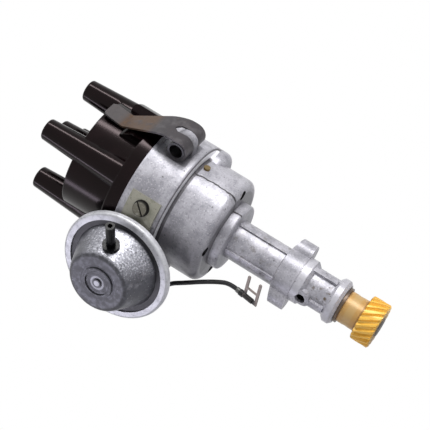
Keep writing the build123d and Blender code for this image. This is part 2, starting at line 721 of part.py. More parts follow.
def make_rotor_arm():
    """Moulded rotor: a skirt on the cam's neck, a top and the arm under the blade."""
    top_low = ROTOR_LOW + ROTOR_SKIRT_L
    skirt = bar(ROTOR_SKIRT_R, ROTOR_LOW, ROTOR_TOP)
    arm = block(0, ROTOR_REACH, -ROTOR_ARM_W / 2, ROTOR_ARM_W / 2, top_low + 1.5, ROTOR_TOP)
    arm &= turned((0, top_low), (ROTOR_SKIRT_R, top_low), (ROTOR_REACH, ROTOR_TOP - 2),
                  (ROTOR_REACH, ROTOR_TOP),
                  (0, ROTOR_TOP))
    body = skirt + arm
    body = fillet(body.edges().filter_by(Axis.Z), 1.0)
    body -= bar(CAM_SLEEVE_R, ROTOR_LOW, CAM_TOP)
    key = key_bar(0) & bar(CAM_SLEEVE_R, ROTOR_LOW, CAM_TOP)
    return body + key


def make_rotor_blade():
    """Brass blade from the rotor's centre to the spark gap."""
    strip = block(-BLADE_TAIL, BLADE_REACH, -BLADE_W / 2, BLADE_W / 2, ROTOR_TOP, BLADE_TOP)
    tip = strip & bar(BLADE_REACH, ROTOR_TOP, BLADE_TOP)
    lip = block(ROTOR_REACH, BLADE_REACH, -BLADE_W / 2, BLADE_W / 2, ROTOR_TOP - BLADE_T, ROTOR_TOP)
    return tip + (lip & bar(BLADE_REACH, ROTOR_TOP - BLADE_T, ROTOR_TOP))


# ---------------------------------------------------------------- breaker plates and contacts
def contact_frame(shape):
    """Brings a piece of the contact set, made with the arm along +X, to its place."""
    return facing(UNIT_AZIMUTH) * shape


def link_point():
    """Axis of the link post, at rest, in plan."""
    rest = radians(UNIT_AZIMUTH)
    across = Vector(cos(rest), sin(rest), 0) * -UNIT_OFFSET
    return across.rotate(Axis.Z, -LINK_LEAD) / cos(radians(LINK_LEAD))


def make_breaker_base_plate():
    """Fixed plate on the cup's ledge, with the hub that the moving plate turns on."""
    body = ring(CUP_IN_R - FREE_GAP, BASE_HUB_R - BASE_HUB_WALL, LEDGE_Z, BASE_TOP)
    body += ring(BASE_HUB_R, BASE_HUB_R - BASE_HUB_WALL, BASE_TOP, BASE_TOP + BASE_HUB_H)
    for side in (90, -90):
        body -= Pos(*at(LEDGE_MID_R, side, LEDGE_Z)) * Cylinder(BASE_SCREW_R, BASE_T, align=LOW)
    return body


def make_base_plate_screws():
    screws = []
    for side in (90, -90):
        head = Cylinder(BASE_SCREW_HEAD_R, BASE_SCREW_HEAD_H, align=LOW)
        head -= Pos(0, 0, BASE_SCREW_HEAD_H - SLOT_DEPTH / 2) * Box(2 * BASE_SCREW_HEAD_R, SLOT_W, SLOT_DEPTH)
        stem = Pos(0, 0, -BASE_SCREW_L) * Cylinder(BASE_SCREW_R, BASE_SCREW_L, align=LOW)
        screws.append(Pos(*at(LEDGE_MID_R, side, BASE_TOP)) * (head + stem))
    return Compound(children=screws)


def make_breaker_plate():
    """Moving plate that the vacuum unit turns, bored for the posts that stand on it."""
    post = link_point()
    body = bar(BREAKER_R, BREAKER_LOW, BREAKER_TOP)
    body += Pos(post.X, post.Y, 0) * bar(LINK_POST_R + 2.2, BREAKER_LOW, BREAKER_TOP)
    body -= bar(BASE_HUB_R + RUN_GAP, BREAKER_LOW, BREAKER_TOP)
    body -= Pos(post.X, post.Y, 0) * bar(LINK_POST_R, BREAKER_LOW, BREAKER_TOP)
    arm_y = ARM_OFFSET + ARM_T / 2
    body -= contact_frame(Pos(ARM_PIVOT_AT, arm_y, 0) * bar(POST_R, BREAKER_LOW, BREAKER_TOP))
    lock_x, lock_y = lock_screw_place()
    return body - contact_frame(Pos(lock_x, lock_y, 0) * bar(LOCK_SCREW_R, BREAKER_LOW, BREAKER_TOP))


def make_link_post():
    """Post on the moving plate that carries the vacuum rod's eye."""
    place = link_point()
    top = UNIT_Z + ROD_EYE_T / 2 + 1.5
    return Pos(place.X, place.Y, 0) * bar(LINK_POST_R, BREAKER_LOW, top)


def make_contact_post():
    """Pivot post of the contact arm, with the ring that keeps the arm on it."""
    arm_y = ARM_OFFSET + ARM_T / 2
    foot = bar(ARM_BOSS_R - 1, BREAKER_TOP, ARM_LOW - SLIP_GAP)
    post = bar(POST_R, BREAKER_LOW, ARM_TOP + SLIP_GAP + POST_HEAD_T)
    clip = bar(ARM_BOSS_R - 0.8, ARM_TOP + SLIP_GAP, ARM_TOP + SLIP_GAP + POST_HEAD_T)
    return contact_frame(Pos(ARM_PIVOT_AT, arm_y, 0) * (foot + post + clip))


def make_contact_arm():
    """Sprung arm that carries the moving contact, lifted by a cam lobe."""
    arm_y = ARM_OFFSET + ARM_T / 2
    tip = CONTACT_AT + CONTACT_R
    beam = block(ARM_PIVOT_AT, tip, ARM_OFFSET, ARM_OFFSET + ARM_T, ARM_LOW, ARM_TOP)
    relief = block(ARM_PIVOT_AT + 2 * ARM_BOSS_R, CONTACT_AT - CONTACT_R, ARM_OFFSET + 1, ARM_OFFSET + ARM_T,
                   ARM_LOW + 1, ARM_TOP - 1)
    boss = Pos(ARM_PIVOT_AT, arm_y, 0) * bar(ARM_BOSS_R, ARM_LOW, ARM_TOP)
    body = beam - relief + boss
    body -= Pos(ARM_PIVOT_AT, arm_y, 0) * bar(POST_R + RUN_GAP, ARM_LOW, ARM_TOP)
    body += pin_along((CONTACT_AT, ARM_OFFSET, (ARM_LOW + ARM_TOP) / 2), (0, -1, 0), CONTACT_R, CONTACT_T)
    return contact_frame(body)


def make_rubbing_block():
    """Fibre heel between the arm and the cam, resting at the top of a lobe."""
    heel_face = CAM_LOBE_R + SLIP_GAP
    body = block(-HEEL_W / 2, HEEL_W / 2, heel_face, ARM_OFFSET, ARM_LOW + 0.5, ARM_TOP - 0.5)
    body += block(-HEEL_W / 2 - HEEL_T, HEEL_W / 2, ARM_OFFSET - 1.2, ARM_OFFSET, ARM_LOW + 0.5,
                  ARM_TOP - 0.5)
    return contact_frame(body)


def bracket_face():
    """Inner face of the fixed contact's upstand, from the shaft's axis."""
    return ARM_OFFSET - 2 * CONTACT_T - POINT_GAP


def lock_screw_place():
    return (CONTACT_AT, ARM_OFFSET + ARM_T + 2 * FREE_GAP + LOCK_SCREW_HEAD_R)


def make_fixed_contact():
    """Bracket that carries the fixed contact, held on the moving plate by the lock screw."""
    inner = bracket_face() - BRACKET_UP_T
    half = BRACKET_UP_W / 2
    foot_top = BREAKER_TOP + BRACKET_FOOT_T
    foot = block(CONTACT_AT - half, CONTACT_AT + half, inner, inner + BRACKET_FOOT_L, BREAKER_TOP, foot_top)
    upright = block(CONTACT_AT - half, CONTACT_AT + half, inner, bracket_face(), BREAKER_TOP, ARM_TOP)
    contact = pin_along((CONTACT_AT, bracket_face(), (ARM_LOW + ARM_TOP) / 2), (0, 1, 0), CONTACT_R,
                        CONTACT_T)
    lock_x, lock_y = lock_screw_place()
    body = (foot & bar(BREAKER_R - FREE_GAP, BREAKER_TOP, foot_top)) + upright + contact
    return contact_frame(body - Pos(lock_x, lock_y, 0) * bar(LOCK_SCREW_R, BREAKER_TOP, foot_top))


def make_contact_lock_screw():
    head_low = BREAKER_TOP + BRACKET_FOOT_T
    head = bar(LOCK_SCREW_HEAD_R, head_low, head_low + LOCK_SCREW_HEAD_H)
    head -= block(-LOCK_SCREW_HEAD_R, LOCK_SCREW_HEAD_R, -SLOT_W / 2, SLOT_W / 2,
                  head_low + LOCK_SCREW_HEAD_H - SLOT_DEPTH, head_low + LOCK_SCREW_HEAD_H)
    lock_x, lock_y = lock_screw_place()
    return contact_frame(Pos(lock_x, lock_y, 0) * (head + bar(LOCK_SCREW_R, BREAKER_LOW, head_low)))


def make_condenser():
    """Round condenser lying across the moving plate in its saddle."""
    axis_z = BREAKER_TOP + CONDENSER_R + 0.8
    can = pin_along((CONDENSER_RING, -CONDENSER_L / 2, axis_z), (0, 1, 0), CONDENSER_R, CONDENSER_L)
    saddle = block(CONDENSER_RING - CONDENSER_R, CONDENSER_RING + 5, -2.5, 2.5, BREAKER_TOP, axis_z)
    return facing(CONDENSER_AZIMUTH) * (can + saddle)


# ---------------------------------------------------------------- cap
def tower_places():
    return [at(TOWER_RING, azimuth) for azimuth in spread(TOWER_AZIMUTH, TOWER_COUNT)]


def tower(radius, low, tip):
    """Round tower that widens downwards from its tip, with a rounded rim."""
    foot_r = radius + (tip - low) * tan(radians(TOWER_TAPER))
    body = turned((0, low), (foot_r, low), (radius, tip), (0, tip))
    return fillet(top_edges(body), TOWER_ROUND)


def clip_pad():
    """Block on the barrel whose sloped shoulder the clip's bend hooks over."""
    reach = PAD_REACH
    fall = (reach - NOSE_R) * (NOSE_Z - CLIP_PIVOT_Z) / (2 * (CLIP_PIVOT_R - NOSE_R))
    crest = NOSE_Z - 1.6
    side = make_face(Polyline((CAP_R - 3, CAP_FLANGE_TOP - 1), (reach, CAP_FLANGE_TOP - 1),
                              (reach, crest - 1 - fall), (CAP_R - 0.4, crest), (CAP_R - 3, crest),
                              close=True))
    return Pos(0, PAD_HALF_W, 0) * extrude(Plane.XZ * side, 2 * PAD_HALF_W)


def key_block():
    """Raised key above the cap's flange, behind one tower."""
    half = KEY_BLOCK_W / 2
    low, high = CAP_FLANGE_TOP - 1, CAP_FLANGE_TOP + KEY_BLOCK_H
    body = (block(CAP_IN_R + 2, CAP_FLANGE_R, -half, half, low, high)
            & bar(CAP_FLANGE_R - CAP_FLANGE_ROUND, low, high))
    return fillet(top_edges(body).sort_by(Axis.X)[-1:], KEY_BLOCK_ROUND)


def make_distributor_cap():
    """Moulded cap with four outer towers, the centre tower and the two clip pads."""
    flange = bar(CAP_FLANGE_R, RIM_Z, CAP_FLANGE_TOP)
    flange = fillet(top_edges(flange), CAP_FLANGE_ROUND)
    barrel = fillet(top_edges(bar(CAP_R, RIM_Z, CAP_TOP)), 1.0)
    body = flange + barrel + bar(CUP_IN_R - FREE_GAP, RIM_Z - SPIGOT_L, RIM_Z)
    for place in tower_places():
        body += Pos(place.X, place.Y, 0) * tower(TOWER_R, RIM_Z + 1, TOWER_TIP)
    body += tower(CENTRE_TOWER_R, CAP_TOP - 1, CENTRE_TIP)
    for azimuth in spread(CLIP_AZIMUTH, CLIP_COUNT):
        body += facing(azimuth) * clip_pad()
    body += facing(KEY_BLOCK_AZIMUTH) * key_block()
    body -= bar(CAP_IN_R, RIM_Z - SPIGOT_L, ROOF_Z)
    body += bar(BOSS_R, ROOF_Z - BOSS_L, ROOF_Z + 1)
    for place in tower_places():
        spot = Pos(place.X, place.Y, 0)
        body -= spot * bar(SOCKET_R, TOWER_TIP - SOCKET_DEPTH, TOWER_TIP)
        body -= spot * bar(TERMINAL_R, ELECTRODE_LOW, TOWER_TIP - SOCKET_DEPTH)
        body -= spot * bar(ELECTRODE_R, ELECTRODE_LOW, ELECTRODE_LOW + ELECTRODE_H)
    body -= bar(SOCKET_R, CENTRE_TIP - SOCKET_DEPTH, CENTRE_TIP)
    return body - bar(BRUSH_R + RUN_GAP, ROOF_Z - BOSS_L, CENTRE_TIP - SOCKET_DEPTH - 1)


def make_cap_terminals():
    """Four posts from the sockets to the electrodes that the rotor passes."""
    posts = []
    for place in tower_places():
        post = bar(ELECTRODE_R, ELECTRODE_LOW, ELECTRODE_LOW + ELECTRODE_H)
        post += bar(TERMINAL_R, ELECTRODE_LOW, TOWER_TIP - SOCKET_DEPTH)
        posts.append(Pos(place.X, place.Y, 0) * post)
    return Compound(children=posts)


BRUSH_LOW = BLADE_TOP + SLIP_GAP
BRUSH_TOP = ROOF_Z + 1.5


def make_carbon_brush():
    """Carbon brush in the cap's centre boss, over the rotor blade."""
    return fillet(bottom_edges(bar(BRUSH_R, BRUSH_LOW, BRUSH_TOP)), 0.6)


def make_brush_spring():
    """Spring between the brush and the bottom of the centre socket."""
    seat = CENTRE_TIP - SOCKET_DEPTH - 1
    count = int((seat - BRUSH_TOP) / (2 * BRUSH_SPRING_WIRE))
    coil = ring_stack(BRUSH_R - 0.2, BRUSH_SPRING_WIRE, count, BRUSH_R - 1.2)
    return Pos(0, 0, BRUSH_TOP) * coil


# ---------------------------------------------------------------- clips
def clip_side():
    """Side of the clip as a thick line: tab, bend, strap, arch and the loop around the pivot."""
    mid_r = PIVOT_TUBE_R + RUN_GAP + CLIP_T / 2
    nose_r = NOSE_R + CLIP_T / 2
    outer_r = CLIP_PIVOT_R + mid_r
    arch_z = NOSE_Z - (outer_r - nose_r) / tan(radians(STRAP_LEAN))
    strap = FilletPolyline((TAB_REACH, TAB_TOP_Z), (nose_r, NOSE_Z), (outer_r, arch_z),
                           (outer_r, CLIP_PIVOT_Z),
                           radius=[CLIP_BEND_R, CLIP_ARCH_R])
    loop = CenterArc((CLIP_PIVOT_R, CLIP_PIVOT_Z), mid_r, 0, -CLIP_WRAP)
    return trace(strap.edges() + loop.edges(), CLIP_T)


def make_clip(azimuth):
    """Spring clip: one strip of steel that forks into two loops on the pivot tube."""
    sheet = Pos(0, FORK_W / 2, 0) * extrude(Plane.XZ * clip_side(), FORK_W)
    half = FORK_GAP / 2
    low, high = CLIP_PIVOT_Z - 2 * LUG_R, CLIP_PIVOT_Z + LUG_R + 1
    body = sheet & clip_outline()
    return facing(azimuth) * (body - block(0, CLIP_PIVOT_R + 3, -half, half, low, high))


def clip_outline():
    """Prism, along the clip's radius, of its outline: rounded tab, flared strap and fork."""
    low = CLIP_PIVOT_Z - 2 * LUG_R
    nose = NOSE_W / 2
    fork = FORK_W / 2
    half = [(0, TAB_TOP_Z + 1), (nose, TAB_TOP_Z + 1), (nose, NOSE_Z), (fork, CLIP_PIVOT_Z + 4), (fork, low)]
    mirror = [(-y, z) for y, z in reversed(half[1:])]
    plate = make_face(Polyline(*half, *mirror, close=True))
    plate = fillet(plate.vertices().group_by(Axis.Y)[-1], nose * 0.8)
    gap = FORK_GAP / 2
    slot = make_face(Polyline((-gap, low - 1), (gap, low - 1), (gap, FORK_ROOT_Z - gap), (0, FORK_ROOT_Z),
                              (-gap, FORK_ROOT_Z - gap), close=True))
    return extrude(Plane.YZ * (plate - slot), 80)


def make_clip_pivots():
    """Two tubes pressed through the cup's lugs, one for each clip."""
    tubes = []
    for azimuth in spread(CLIP_AZIMUTH, CLIP_COUNT):
        start = (CLIP_PIVOT_R, -FORK_W / 2 - FREE_GAP, CLIP_PIVOT_Z)
        length = FORK_W + 2 * FREE_GAP
        tube = pin_along(start, (0, 1, 0), PIVOT_TUBE_R, length)
        tube -= pin_along(start, (0, 1, 0), PIVOT_TUBE_R - PIVOT_TUBE_WALL, length)
        tubes.append(facing(azimuth) * tube)
    return Compound(children=tubes)


# ---------------------------------------------------------------- vacuum unit
def unit_plane(station, across=0.0):
    """Plane across the unit's axis, facing away from the cup, at a distance from the shaft's plane."""
    rest = radians(UNIT_AZIMUTH)
    outward = Vector(sin(rest), -cos(rest), 0)
    sideways = Vector(cos(rest), sin(rest), 0)
    origin = outward * station + sideways * (across - UNIT_OFFSET) + Vector(0, 0, UNIT_Z)
    return Plane(origin=origin, x_dir=sideways, z_dir=outward)


def unit_axis_bar(radius, start, end):
    return unit_plane(start).location * Cylinder(radius, end - start, align=LOW)


def unit_turned(*points):
    """Solid of revolution about the unit's axis from (radius, station) points."""
    return unit_plane(0).location * turned(*points)


def make_vacuum_back_shell():
    """Shallow pressed shell against the bracket, with the spigot that enters the cup."""
    t = SHELL_T
    body = unit_turned((SPIGOT_TUBE_R - SPIGOT_TUBE_WALL, BRACKET_FACE), (BACK_R, BRACKET_FACE),
                       (SHELL_FLANGE_R - 2.4, BACK_FLANGE - t), (SHELL_FLANGE_R, BACK_FLANGE - t),
                       (SHELL_FLANGE_R, BACK_FLANGE), (SHELL_FLANGE_R - 3.0, BACK_FLANGE),
                       (BACK_R - 0.6, BRACKET_FACE + t), (SPIGOT_TUBE_R - SPIGOT_TUBE_WALL, BRACKET_FACE + t))
    body += unit_axis_bar(SPIGOT_TUBE_R, SPIGOT_TUBE_IN, BRACKET_FACE)
    return body - unit_axis_bar(SPIGOT_TUBE_R - SPIGOT_TUBE_WALL, SPIGOT_TUBE_IN, BRACKET_FACE + t)


def nipple_frame():
    """Point on the dome's side and the outward direction of the hose nipple."""
    slope = (DOME_BASE_R - DOME_TOP_R) / (DOME_TOP - DOME_FOOT)
    radius = DOME_BASE_R - slope * NIPPLE_STATION
    plane = unit_plane(DOME_FOOT + NIPPLE_STATION)
    sideways = plane.x_dir * cos(radians(NIPPLE_CLOCK)) + plane.y_dir * sin(radians(NIPPLE_CLOCK))
    return plane.origin + sideways * radius, (sideways + plane.z_dir * slope).normalized()


def dome_cone(wall, top):
    """Cone of the dome, drawn in by a wall, up to a station."""
    return turned((0, DOME_FOOT - SHELL_T), (DOME_BASE_R - wall, DOME_FOOT - SHELL_T),
                  (DOME_BASE_R - wall, DOME_FOOT),
                  (DOME_TOP_R - wall, top), (0, top))


def make_vacuum_front_shell():
    """Pressed dome with a stepped top, pierced for the nipple."""
    dome = fillet(top_edges(dome_cone(0, DOME_TOP)), DOME_ROUND)
    hollow = fillet(top_edges(dome_cone(SHELL_T, DOME_TOP - SHELL_T)), DOME_ROUND - SHELL_T)
    body = dome + bar(SHELL_FLANGE_R, FRONT_FLANGE, DOME_FOOT)
    body += ring(DOME_RING_R, DOME_RING_R - DOME_RING_W, DOME_TOP - SHELL_T / 2, DOME_TOP + DOME_RING_H)
    body += bar(DOME_PIN_R, DOME_TOP - SHELL_T / 2, DOME_TOP + DOME_RING_H)
    base, direction = nipple_frame()
    return unit_plane(0).location * (body - hollow) - pin_along(base - direction * 3, direction, NIPPLE_R, 6)


def make_vacuum_crimp_ring():
    """Rolled rim that clamps the two shells and the diaphragm."""
    half = RIM_W / 2
    body = turned((RIM_IN_R, RIM_PLANE - half), (RIM_R, RIM_PLANE - half), (RIM_R, RIM_PLANE + half),
                  (RIM_IN_R, RIM_PLANE + half))
    body = fillet(body.edges().group_by(Axis.Z)[-1].sort_by(SortBy.RADIUS)[-1:], RIM_ROUND)
    body = fillet(body.edges().group_by(Axis.Z)[0].sort_by(SortBy.RADIUS)[-1:], RIM_ROUND)
    body -= bar(SHELL_FLANGE_R, BACK_FLANGE - SHELL_T, FRONT_FLANGE + SHELL_T)
    return unit_plane(0).location * body


def make_vacuum_diaphragm():
    """Rubber diaphragm between the shells, clamped at its edge."""
    return unit_plane(0).location * ring(SHELL_FLANGE_R, ROD_R, BACK_FLANGE, FRONT_FLANGE)


def make_diaphragm_plates():
    """Two plates that clamp the middle of the diaphragm to the rod."""
    front = ring(CUP_PLATE_R, ROD_R, FRONT_FLANGE, FRONT_FLANGE + CUP_PLATE_T)
    seat = ring(VAC_SPRING_R - VAC_SPRING_WIRE, VAC_SPRING_R - 2 * VAC_SPRING_WIRE, FRONT_FLANGE,
                FRONT_FLANGE + 3 * CUP_PLATE_T)
    back = ring(CUP_PLATE_R - 3, ROD_R, BACK_FLANGE - CUP_PLATE_T, BACK_FLANGE)
    return Compound(children=[unit_plane(0).location * (front + seat), unit_plane(0).location * back])


def make_vacuum_spring():
    """Compression spring between the front plate and the dome."""
    low = FRONT_FLANGE + CUP_PLATE_T
    high = DOME_TOP - SHELL_T
    height = high - low - VAC_SPRING_WIRE
    path = Helix(height / VAC_SPRING_TURNS, height, VAC_SPRING_R)
    section = Plane(origin=path @ 0, z_dir=path % 0) * Circle(VAC_SPRING_WIRE / 2)
    coil = sweep(section, path, is_frenet=True)
    return unit_plane(low + VAC_SPRING_WIRE / 2).location * coil


def rod_station():
    """Station of the link post along the unit's axis, at rest."""
    return -UNIT_OFFSET * tan(radians(LINK_LEAD))


def make_vacuum_rod():
    """Rod from the diaphragm to the link post, with a flat eye."""
    start = rod_station()
    end = FRONT_FLANGE + CUP_PLATE_T + 1.2
    body = unit_axis_bar(ROD_R, start + ROD_EYE_R - 0.5, end)
    body += unit_axis_bar(ROD_R + 1.2, FRONT_FLANGE + CUP_PLATE_T, end)
    place = link_point()
    eye = Pos(place.X, place.Y, UNIT_Z - ROD_EYE_T / 2) * Cylinder(ROD_EYE_R, ROD_EYE_T, align=LOW)
    body += eye
    return body - Pos(place.X, place.Y, 0) * bar(LINK_POST_R + LINK_GAP, BREAKER_LOW, 2 * UNIT_Z)


def make_vacuum_nipple():
    """Moulded hose nipple with its round foot on the dome."""
    base, direction = nipple_frame()
    stub = pin_along(base - direction * 2, direction, NIPPLE_R, NIPPLE_L + 2)
    foot = pin_along(base - direction, direction, NIPPLE_COLLAR_R, NIPPLE_COLLAR_T + 1)
    body = (foot - unit_plane(0).location * dome_cone(0, DOME_TOP)) + stub
    return body - pin_along(base - direction * 2, direction, NIPPLE_BORE_R, NIPPLE_L + 2)


def bracket_screw_bar(radius, start, end):
    direction = at(1, BRACKET_SCREW_AZIMUTH)
    return pin_along(at(start, BRACKET_SCREW_AZIMUTH, UNIT_Z), direction, radius, end - start)


def make_vacuum_bracket():
    """Plate that hugs the cup and then runs straight behind the unit."""
    low = UNIT_Z - BRACKET_H / 2
    high = UNIT_Z + BRACKET_H / 2
    hug = ring(BRACKET_FACE, CUP_R, low, high)
    reach = 2 * CUP_R
    edge = at(reach, BRACKET_EDGE_AZIMUTH)
    middle = at(reach, (BRACKET_EDGE_AZIMUTH + UNIT_AZIMUTH) / 2)
    corner = at(reach, UNIT_AZIMUTH)
    sector = make_face(Polyline((0, 0), (edge.X, edge.Y), (middle.X, middle.Y), (corner.X, corner.Y),
                                close=True))
    body = hug & (Pos(0, 0, low) * extrude(sector, BRACKET_H))
    tail = Rot(0, 0, UNIT_AZIMUTH) * block(-BRACKET_TAIL, 0, -BRACKET_FACE, -CUP_R, low, high)
    body += tail
    body -= unit_axis_bar(SPIGOT_TUBE_R, CUP_R - 1, BRACKET_FACE + 1)
    return body - bracket_screw_bar(BRACKET_SCREW_R, CUP_R - 1, BRACKET_FACE + 1)


def make_bracket_screw():
    """Slotted cheese-head screw and its washer on the bracket."""
    washer_top = BRACKET_FACE + BRACKET_WASHER_T
    head_top = washer_top + BRACKET_SCREW_HEAD_H
    seat = Pos(0, 0, 0) * ring_on_bracket()
    head = bracket_screw_bar(BRACKET_SCREW_HEAD_R, washer_top, head_top)
    stem = bracket_screw_bar(BRACKET_SCREW_R, BRACKET_FACE - BRACKET_SCREW_L + 0.5, washer_top)
    face = Plane(origin=at(head_top, BRACKET_SCREW_AZIMUTH, UNIT_Z), z_dir=at(1, BRACKET_SCREW_AZIMUTH),
                 x_dir=(cos(radians(BRACKET_SCREW_AZIMUTH)), sin(radians(BRACKET_SCREW_AZIMUTH)), 0))
    groove = face.location * Rot(0, 0, 45) * Box(2.2 * BRACKET_SCREW_HEAD_R, SLOT_W, 2 * SLOT_DEPTH)
    return seat + head + stem - groove


def ring_on_bracket():
    """Washer seated on the bracket's curved face."""
    plain = bracket_screw_bar(BRACKET_WASHER_R, CUP_R, BRACKET_FACE + BRACKET_WASHER_T)
    return plain - bar(BRACKET_FACE, UNIT_Z - BRACKET_H, UNIT_Z + BRACKET_H)


def make_brass_plug():
    """Small brass plug in the bowl's side, under the cup."""
    direction = at(1, PLUG_AZIMUTH)
    return pin_along(at(BOWL_R + PLUG_PROUD - PLUG_L, PLUG_AZIMUTH, PLUG_Z), direction, PLUG_R, PLUG_L)


# ---------------------------------------------------------------- low-tension lead
def make_lead_grommet():
    """Rubber grommet in the cup's wall, bored for the lead."""
    direction = at(1, GROMMET_AZIMUTH)
    face_r = hypot(LEAD_ROUTE[0][0], LEAD_ROUTE[0][1])
    start = at(CUP_IN_R, GROMMET_AZIMUTH, GROMMET_Z)
    body = pin_along(start, direction, GROMMET_R, face_r - CUP_IN_R)
    lip = pin_along(at(CUP_R - 1, GROMMET_AZIMUTH, GROMMET_Z), direction, GROMMET_LIP_R, GROMMET_LIP_T + 1)
    body += lip - bar(CUP_R, GROMMET_Z - 2 * GROMMET_LIP_R, GROMMET_Z + 2 * GROMMET_LIP_R)
    return body


def lead_path():
    """Lead's centre line: straight runs joined by the widest arcs that the runs allow."""
    points = [Vector(*p) for p in LEAD_ROUTE]
    radii = []
    for before, corner, after in zip(points, points[1:], points[2:]):
        shorter = min((corner - before).length, (after - corner).length)
        turn = (corner - before).get_angle(after - corner)
        radii.append(0.45 * shorter / tan(radians(turn / 2)))
    print("lead radii", [round(r, 1) for r in radii])
    path = FilletPolyline(*points, radius=radii)
    print("lead length", round(path.length, 2))
    return path


def make_lt_lead():
    path = lead_path()
    section = Plane(origin=path @ 0, z_dir=path % 0) * Circle(LEAD_R)
    tube = sweep(section, path)
    print("lead volume", round(tube.volume, 2), "section x length", round(pi * LEAD_R ** 2 * path.length, 2))
    return tube


def lead_end():
    """End of the lead and its heading there."""
    tip = Vector(*LEAD_ROUTE[-1])
    heading = (tip - Vector(*LEAD_ROUTE[-2])).normalized()
    return tip, heading


def make_lead_crimp():
    tip, heading = lead_end()
    return pin_along(tip, heading, CRIMP_R, CRIMP_L)


def make_lead_sleeve():
    tip, heading = lead_end()
    return pin_along(tip + heading * CRIMP_L, heading, SLEEVE_R, SLEEVE_L)


def make_fork_terminal():
    """Flat fork terminal: a crimped barrel in line with the lead and two prongs square to it."""
    tip, heading = lead_end()
    base = tip + heading * (CRIMP_L + SLEEVE_L)
    prong = Vector(*FORK_PRONG_AXIS)
    prong = (prong - heading * prong.dot(heading)).normalized()
    plane = Plane(origin=base, x_dir=prong, z_dir=prong.cross(heading))
    w, t = FORK_TERMINAL_W, FORK_T
    body = block(-FORK_BASE_W / 2, FORK_BASE_W / 2, 0, w, -t / 2, t / 2)
    for y in (0, w - FORK_PRONG_W):
        tine = block(0, FORK_PRONG_L, y, y + FORK_PRONG_W, -t / 2, t / 2)
        body += fillet(tine.edges().filter_by(Axis.Z).group_by(Axis.X)[-1], 0.45 * FORK_PRONG_W)
    body += block(FORK_BAR_AT, FORK_BAR_AT + FORK_BAR_W, FORK_PRONG_W / 2, w - FORK_PRONG_W / 2, -t / 2,
                  t / 2)
    return plane.location * body + pin_along(base, heading, FORK_BARREL_R, FORK_BARREL_L)


# ---------------------------------------------------------------- write the pieces
def build():
    pieces = {
        "housing": make_housing(),
        "shaft_bush_upper": make_upper_bush(),
        "shaft_bush_lower": make_lower_bush(),
        "drive_shaft": make_drive_shaft(),
        "drive_gear": make_drive_gear(),
        "gear_pin": make_gear_pin(),
        "thrust_washer": make_thrust_washer(),
        "governor_washer": make_governor_washer(),
        "governor_plate": make_governor_plate(),
        "weight_pins": make_weight_pins(),
        "governor_weight_a": make_weight(0),
        "governor_weight_b": make_weight(180),
        "governor_springs": make_governor_springs(),
        "breaker_cam": make_breaker_cam(),
        "cam_screw": make_cam_screw(),
        "felt_wick": make_felt_wick(),
        "rotor_arm": make_rotor_arm(),
        "rotor_blade": make_rotor_blade(),
        "breaker_base_plate": make_breaker_base_plate(),
        "base_plate_screws": make_base_plate_screws(),
        "breaker_plate": make_breaker_plate(),
        "link_post": make_link_post(),
        "contact_post": make_contact_post(),
        "contact_arm": make_contact_arm(),
        "rubbing_block": make_rubbing_block(),
        "fixed_contact": make_fixed_contact(),
        "contact_lock_screw": make_contact_lock_screw(),
        "condenser": make_condenser(),
        "distributor_cap": make_distributor_cap(),
        "cap_terminals": make_cap_terminals(),
        "carbon_brush": make_carbon_brush(),
        "brush_spring": make_brush_spring(),
        "clip_front": make_clip(CLIP_AZIMUTH),
        "clip_rear": make_clip(CLIP_AZIMUTH + 180),
        "clip_pivots": make_clip_pivots(),
        "vacuum_back_shell": make_vacuum_back_shell(),
        "vacuum_front_shell": make_vacuum_front_shell(),
        "vacuum_crimp_ring": make_vacuum_crimp_ring(),
        "vacuum_diaphragm": make_vacuum_diaphragm(),
        "diaphragm_plates": make_diaphragm_plates(),
        "vacuum_spring": make_vacuum_spring(),
        "vacuum_rod": make_vacuum_rod(),
        "vacuum_nipple": make_vacuum_nipple(),
        "vacuum_bracket": make_vacuum_bracket(),
        "bracket_screw": make_bracket_screw(),
        "brass_plug": make_brass_plug(),
        "lead_grommet": make_lead_grommet(),
        "lt_lead": make_lt_lead(),
        "lead_crimp": make_lead_crimp(),
        "lead_sleeve": make_lead_sleeve(),
        "fork_terminal": make_fork_terminal(),
    }
    os.makedirs("parts", exist_ok=True)
    for name, piece in pieces.items():
        export_step(piece, os.path.join("parts", name + ".step"))


build()
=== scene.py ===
import bmesh
import bpy
from math import cos, radians, sin
from mathutils import Matrix, Vector


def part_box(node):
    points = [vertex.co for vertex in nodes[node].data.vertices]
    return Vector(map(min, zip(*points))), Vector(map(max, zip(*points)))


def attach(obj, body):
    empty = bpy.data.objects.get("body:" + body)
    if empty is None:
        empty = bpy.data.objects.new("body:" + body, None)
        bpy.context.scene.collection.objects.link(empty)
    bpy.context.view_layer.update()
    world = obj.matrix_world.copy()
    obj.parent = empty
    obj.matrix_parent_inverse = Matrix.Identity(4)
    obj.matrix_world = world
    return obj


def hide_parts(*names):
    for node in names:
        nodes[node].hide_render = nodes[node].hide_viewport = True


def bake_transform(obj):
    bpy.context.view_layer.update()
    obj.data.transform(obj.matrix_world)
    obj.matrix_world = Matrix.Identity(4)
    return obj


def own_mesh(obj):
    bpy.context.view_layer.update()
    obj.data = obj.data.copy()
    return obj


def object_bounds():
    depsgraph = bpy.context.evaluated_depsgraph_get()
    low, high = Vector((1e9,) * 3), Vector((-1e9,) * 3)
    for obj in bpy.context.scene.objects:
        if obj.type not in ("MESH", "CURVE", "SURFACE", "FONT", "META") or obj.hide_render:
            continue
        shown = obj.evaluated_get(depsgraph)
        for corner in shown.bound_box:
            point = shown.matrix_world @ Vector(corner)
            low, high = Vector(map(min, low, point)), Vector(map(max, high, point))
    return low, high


# Ignition distributor: finishes, lead, springs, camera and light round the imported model.
# Metres. +Z runs along the shaft towards the cap, and z = 0 is the clamp flange's seat.

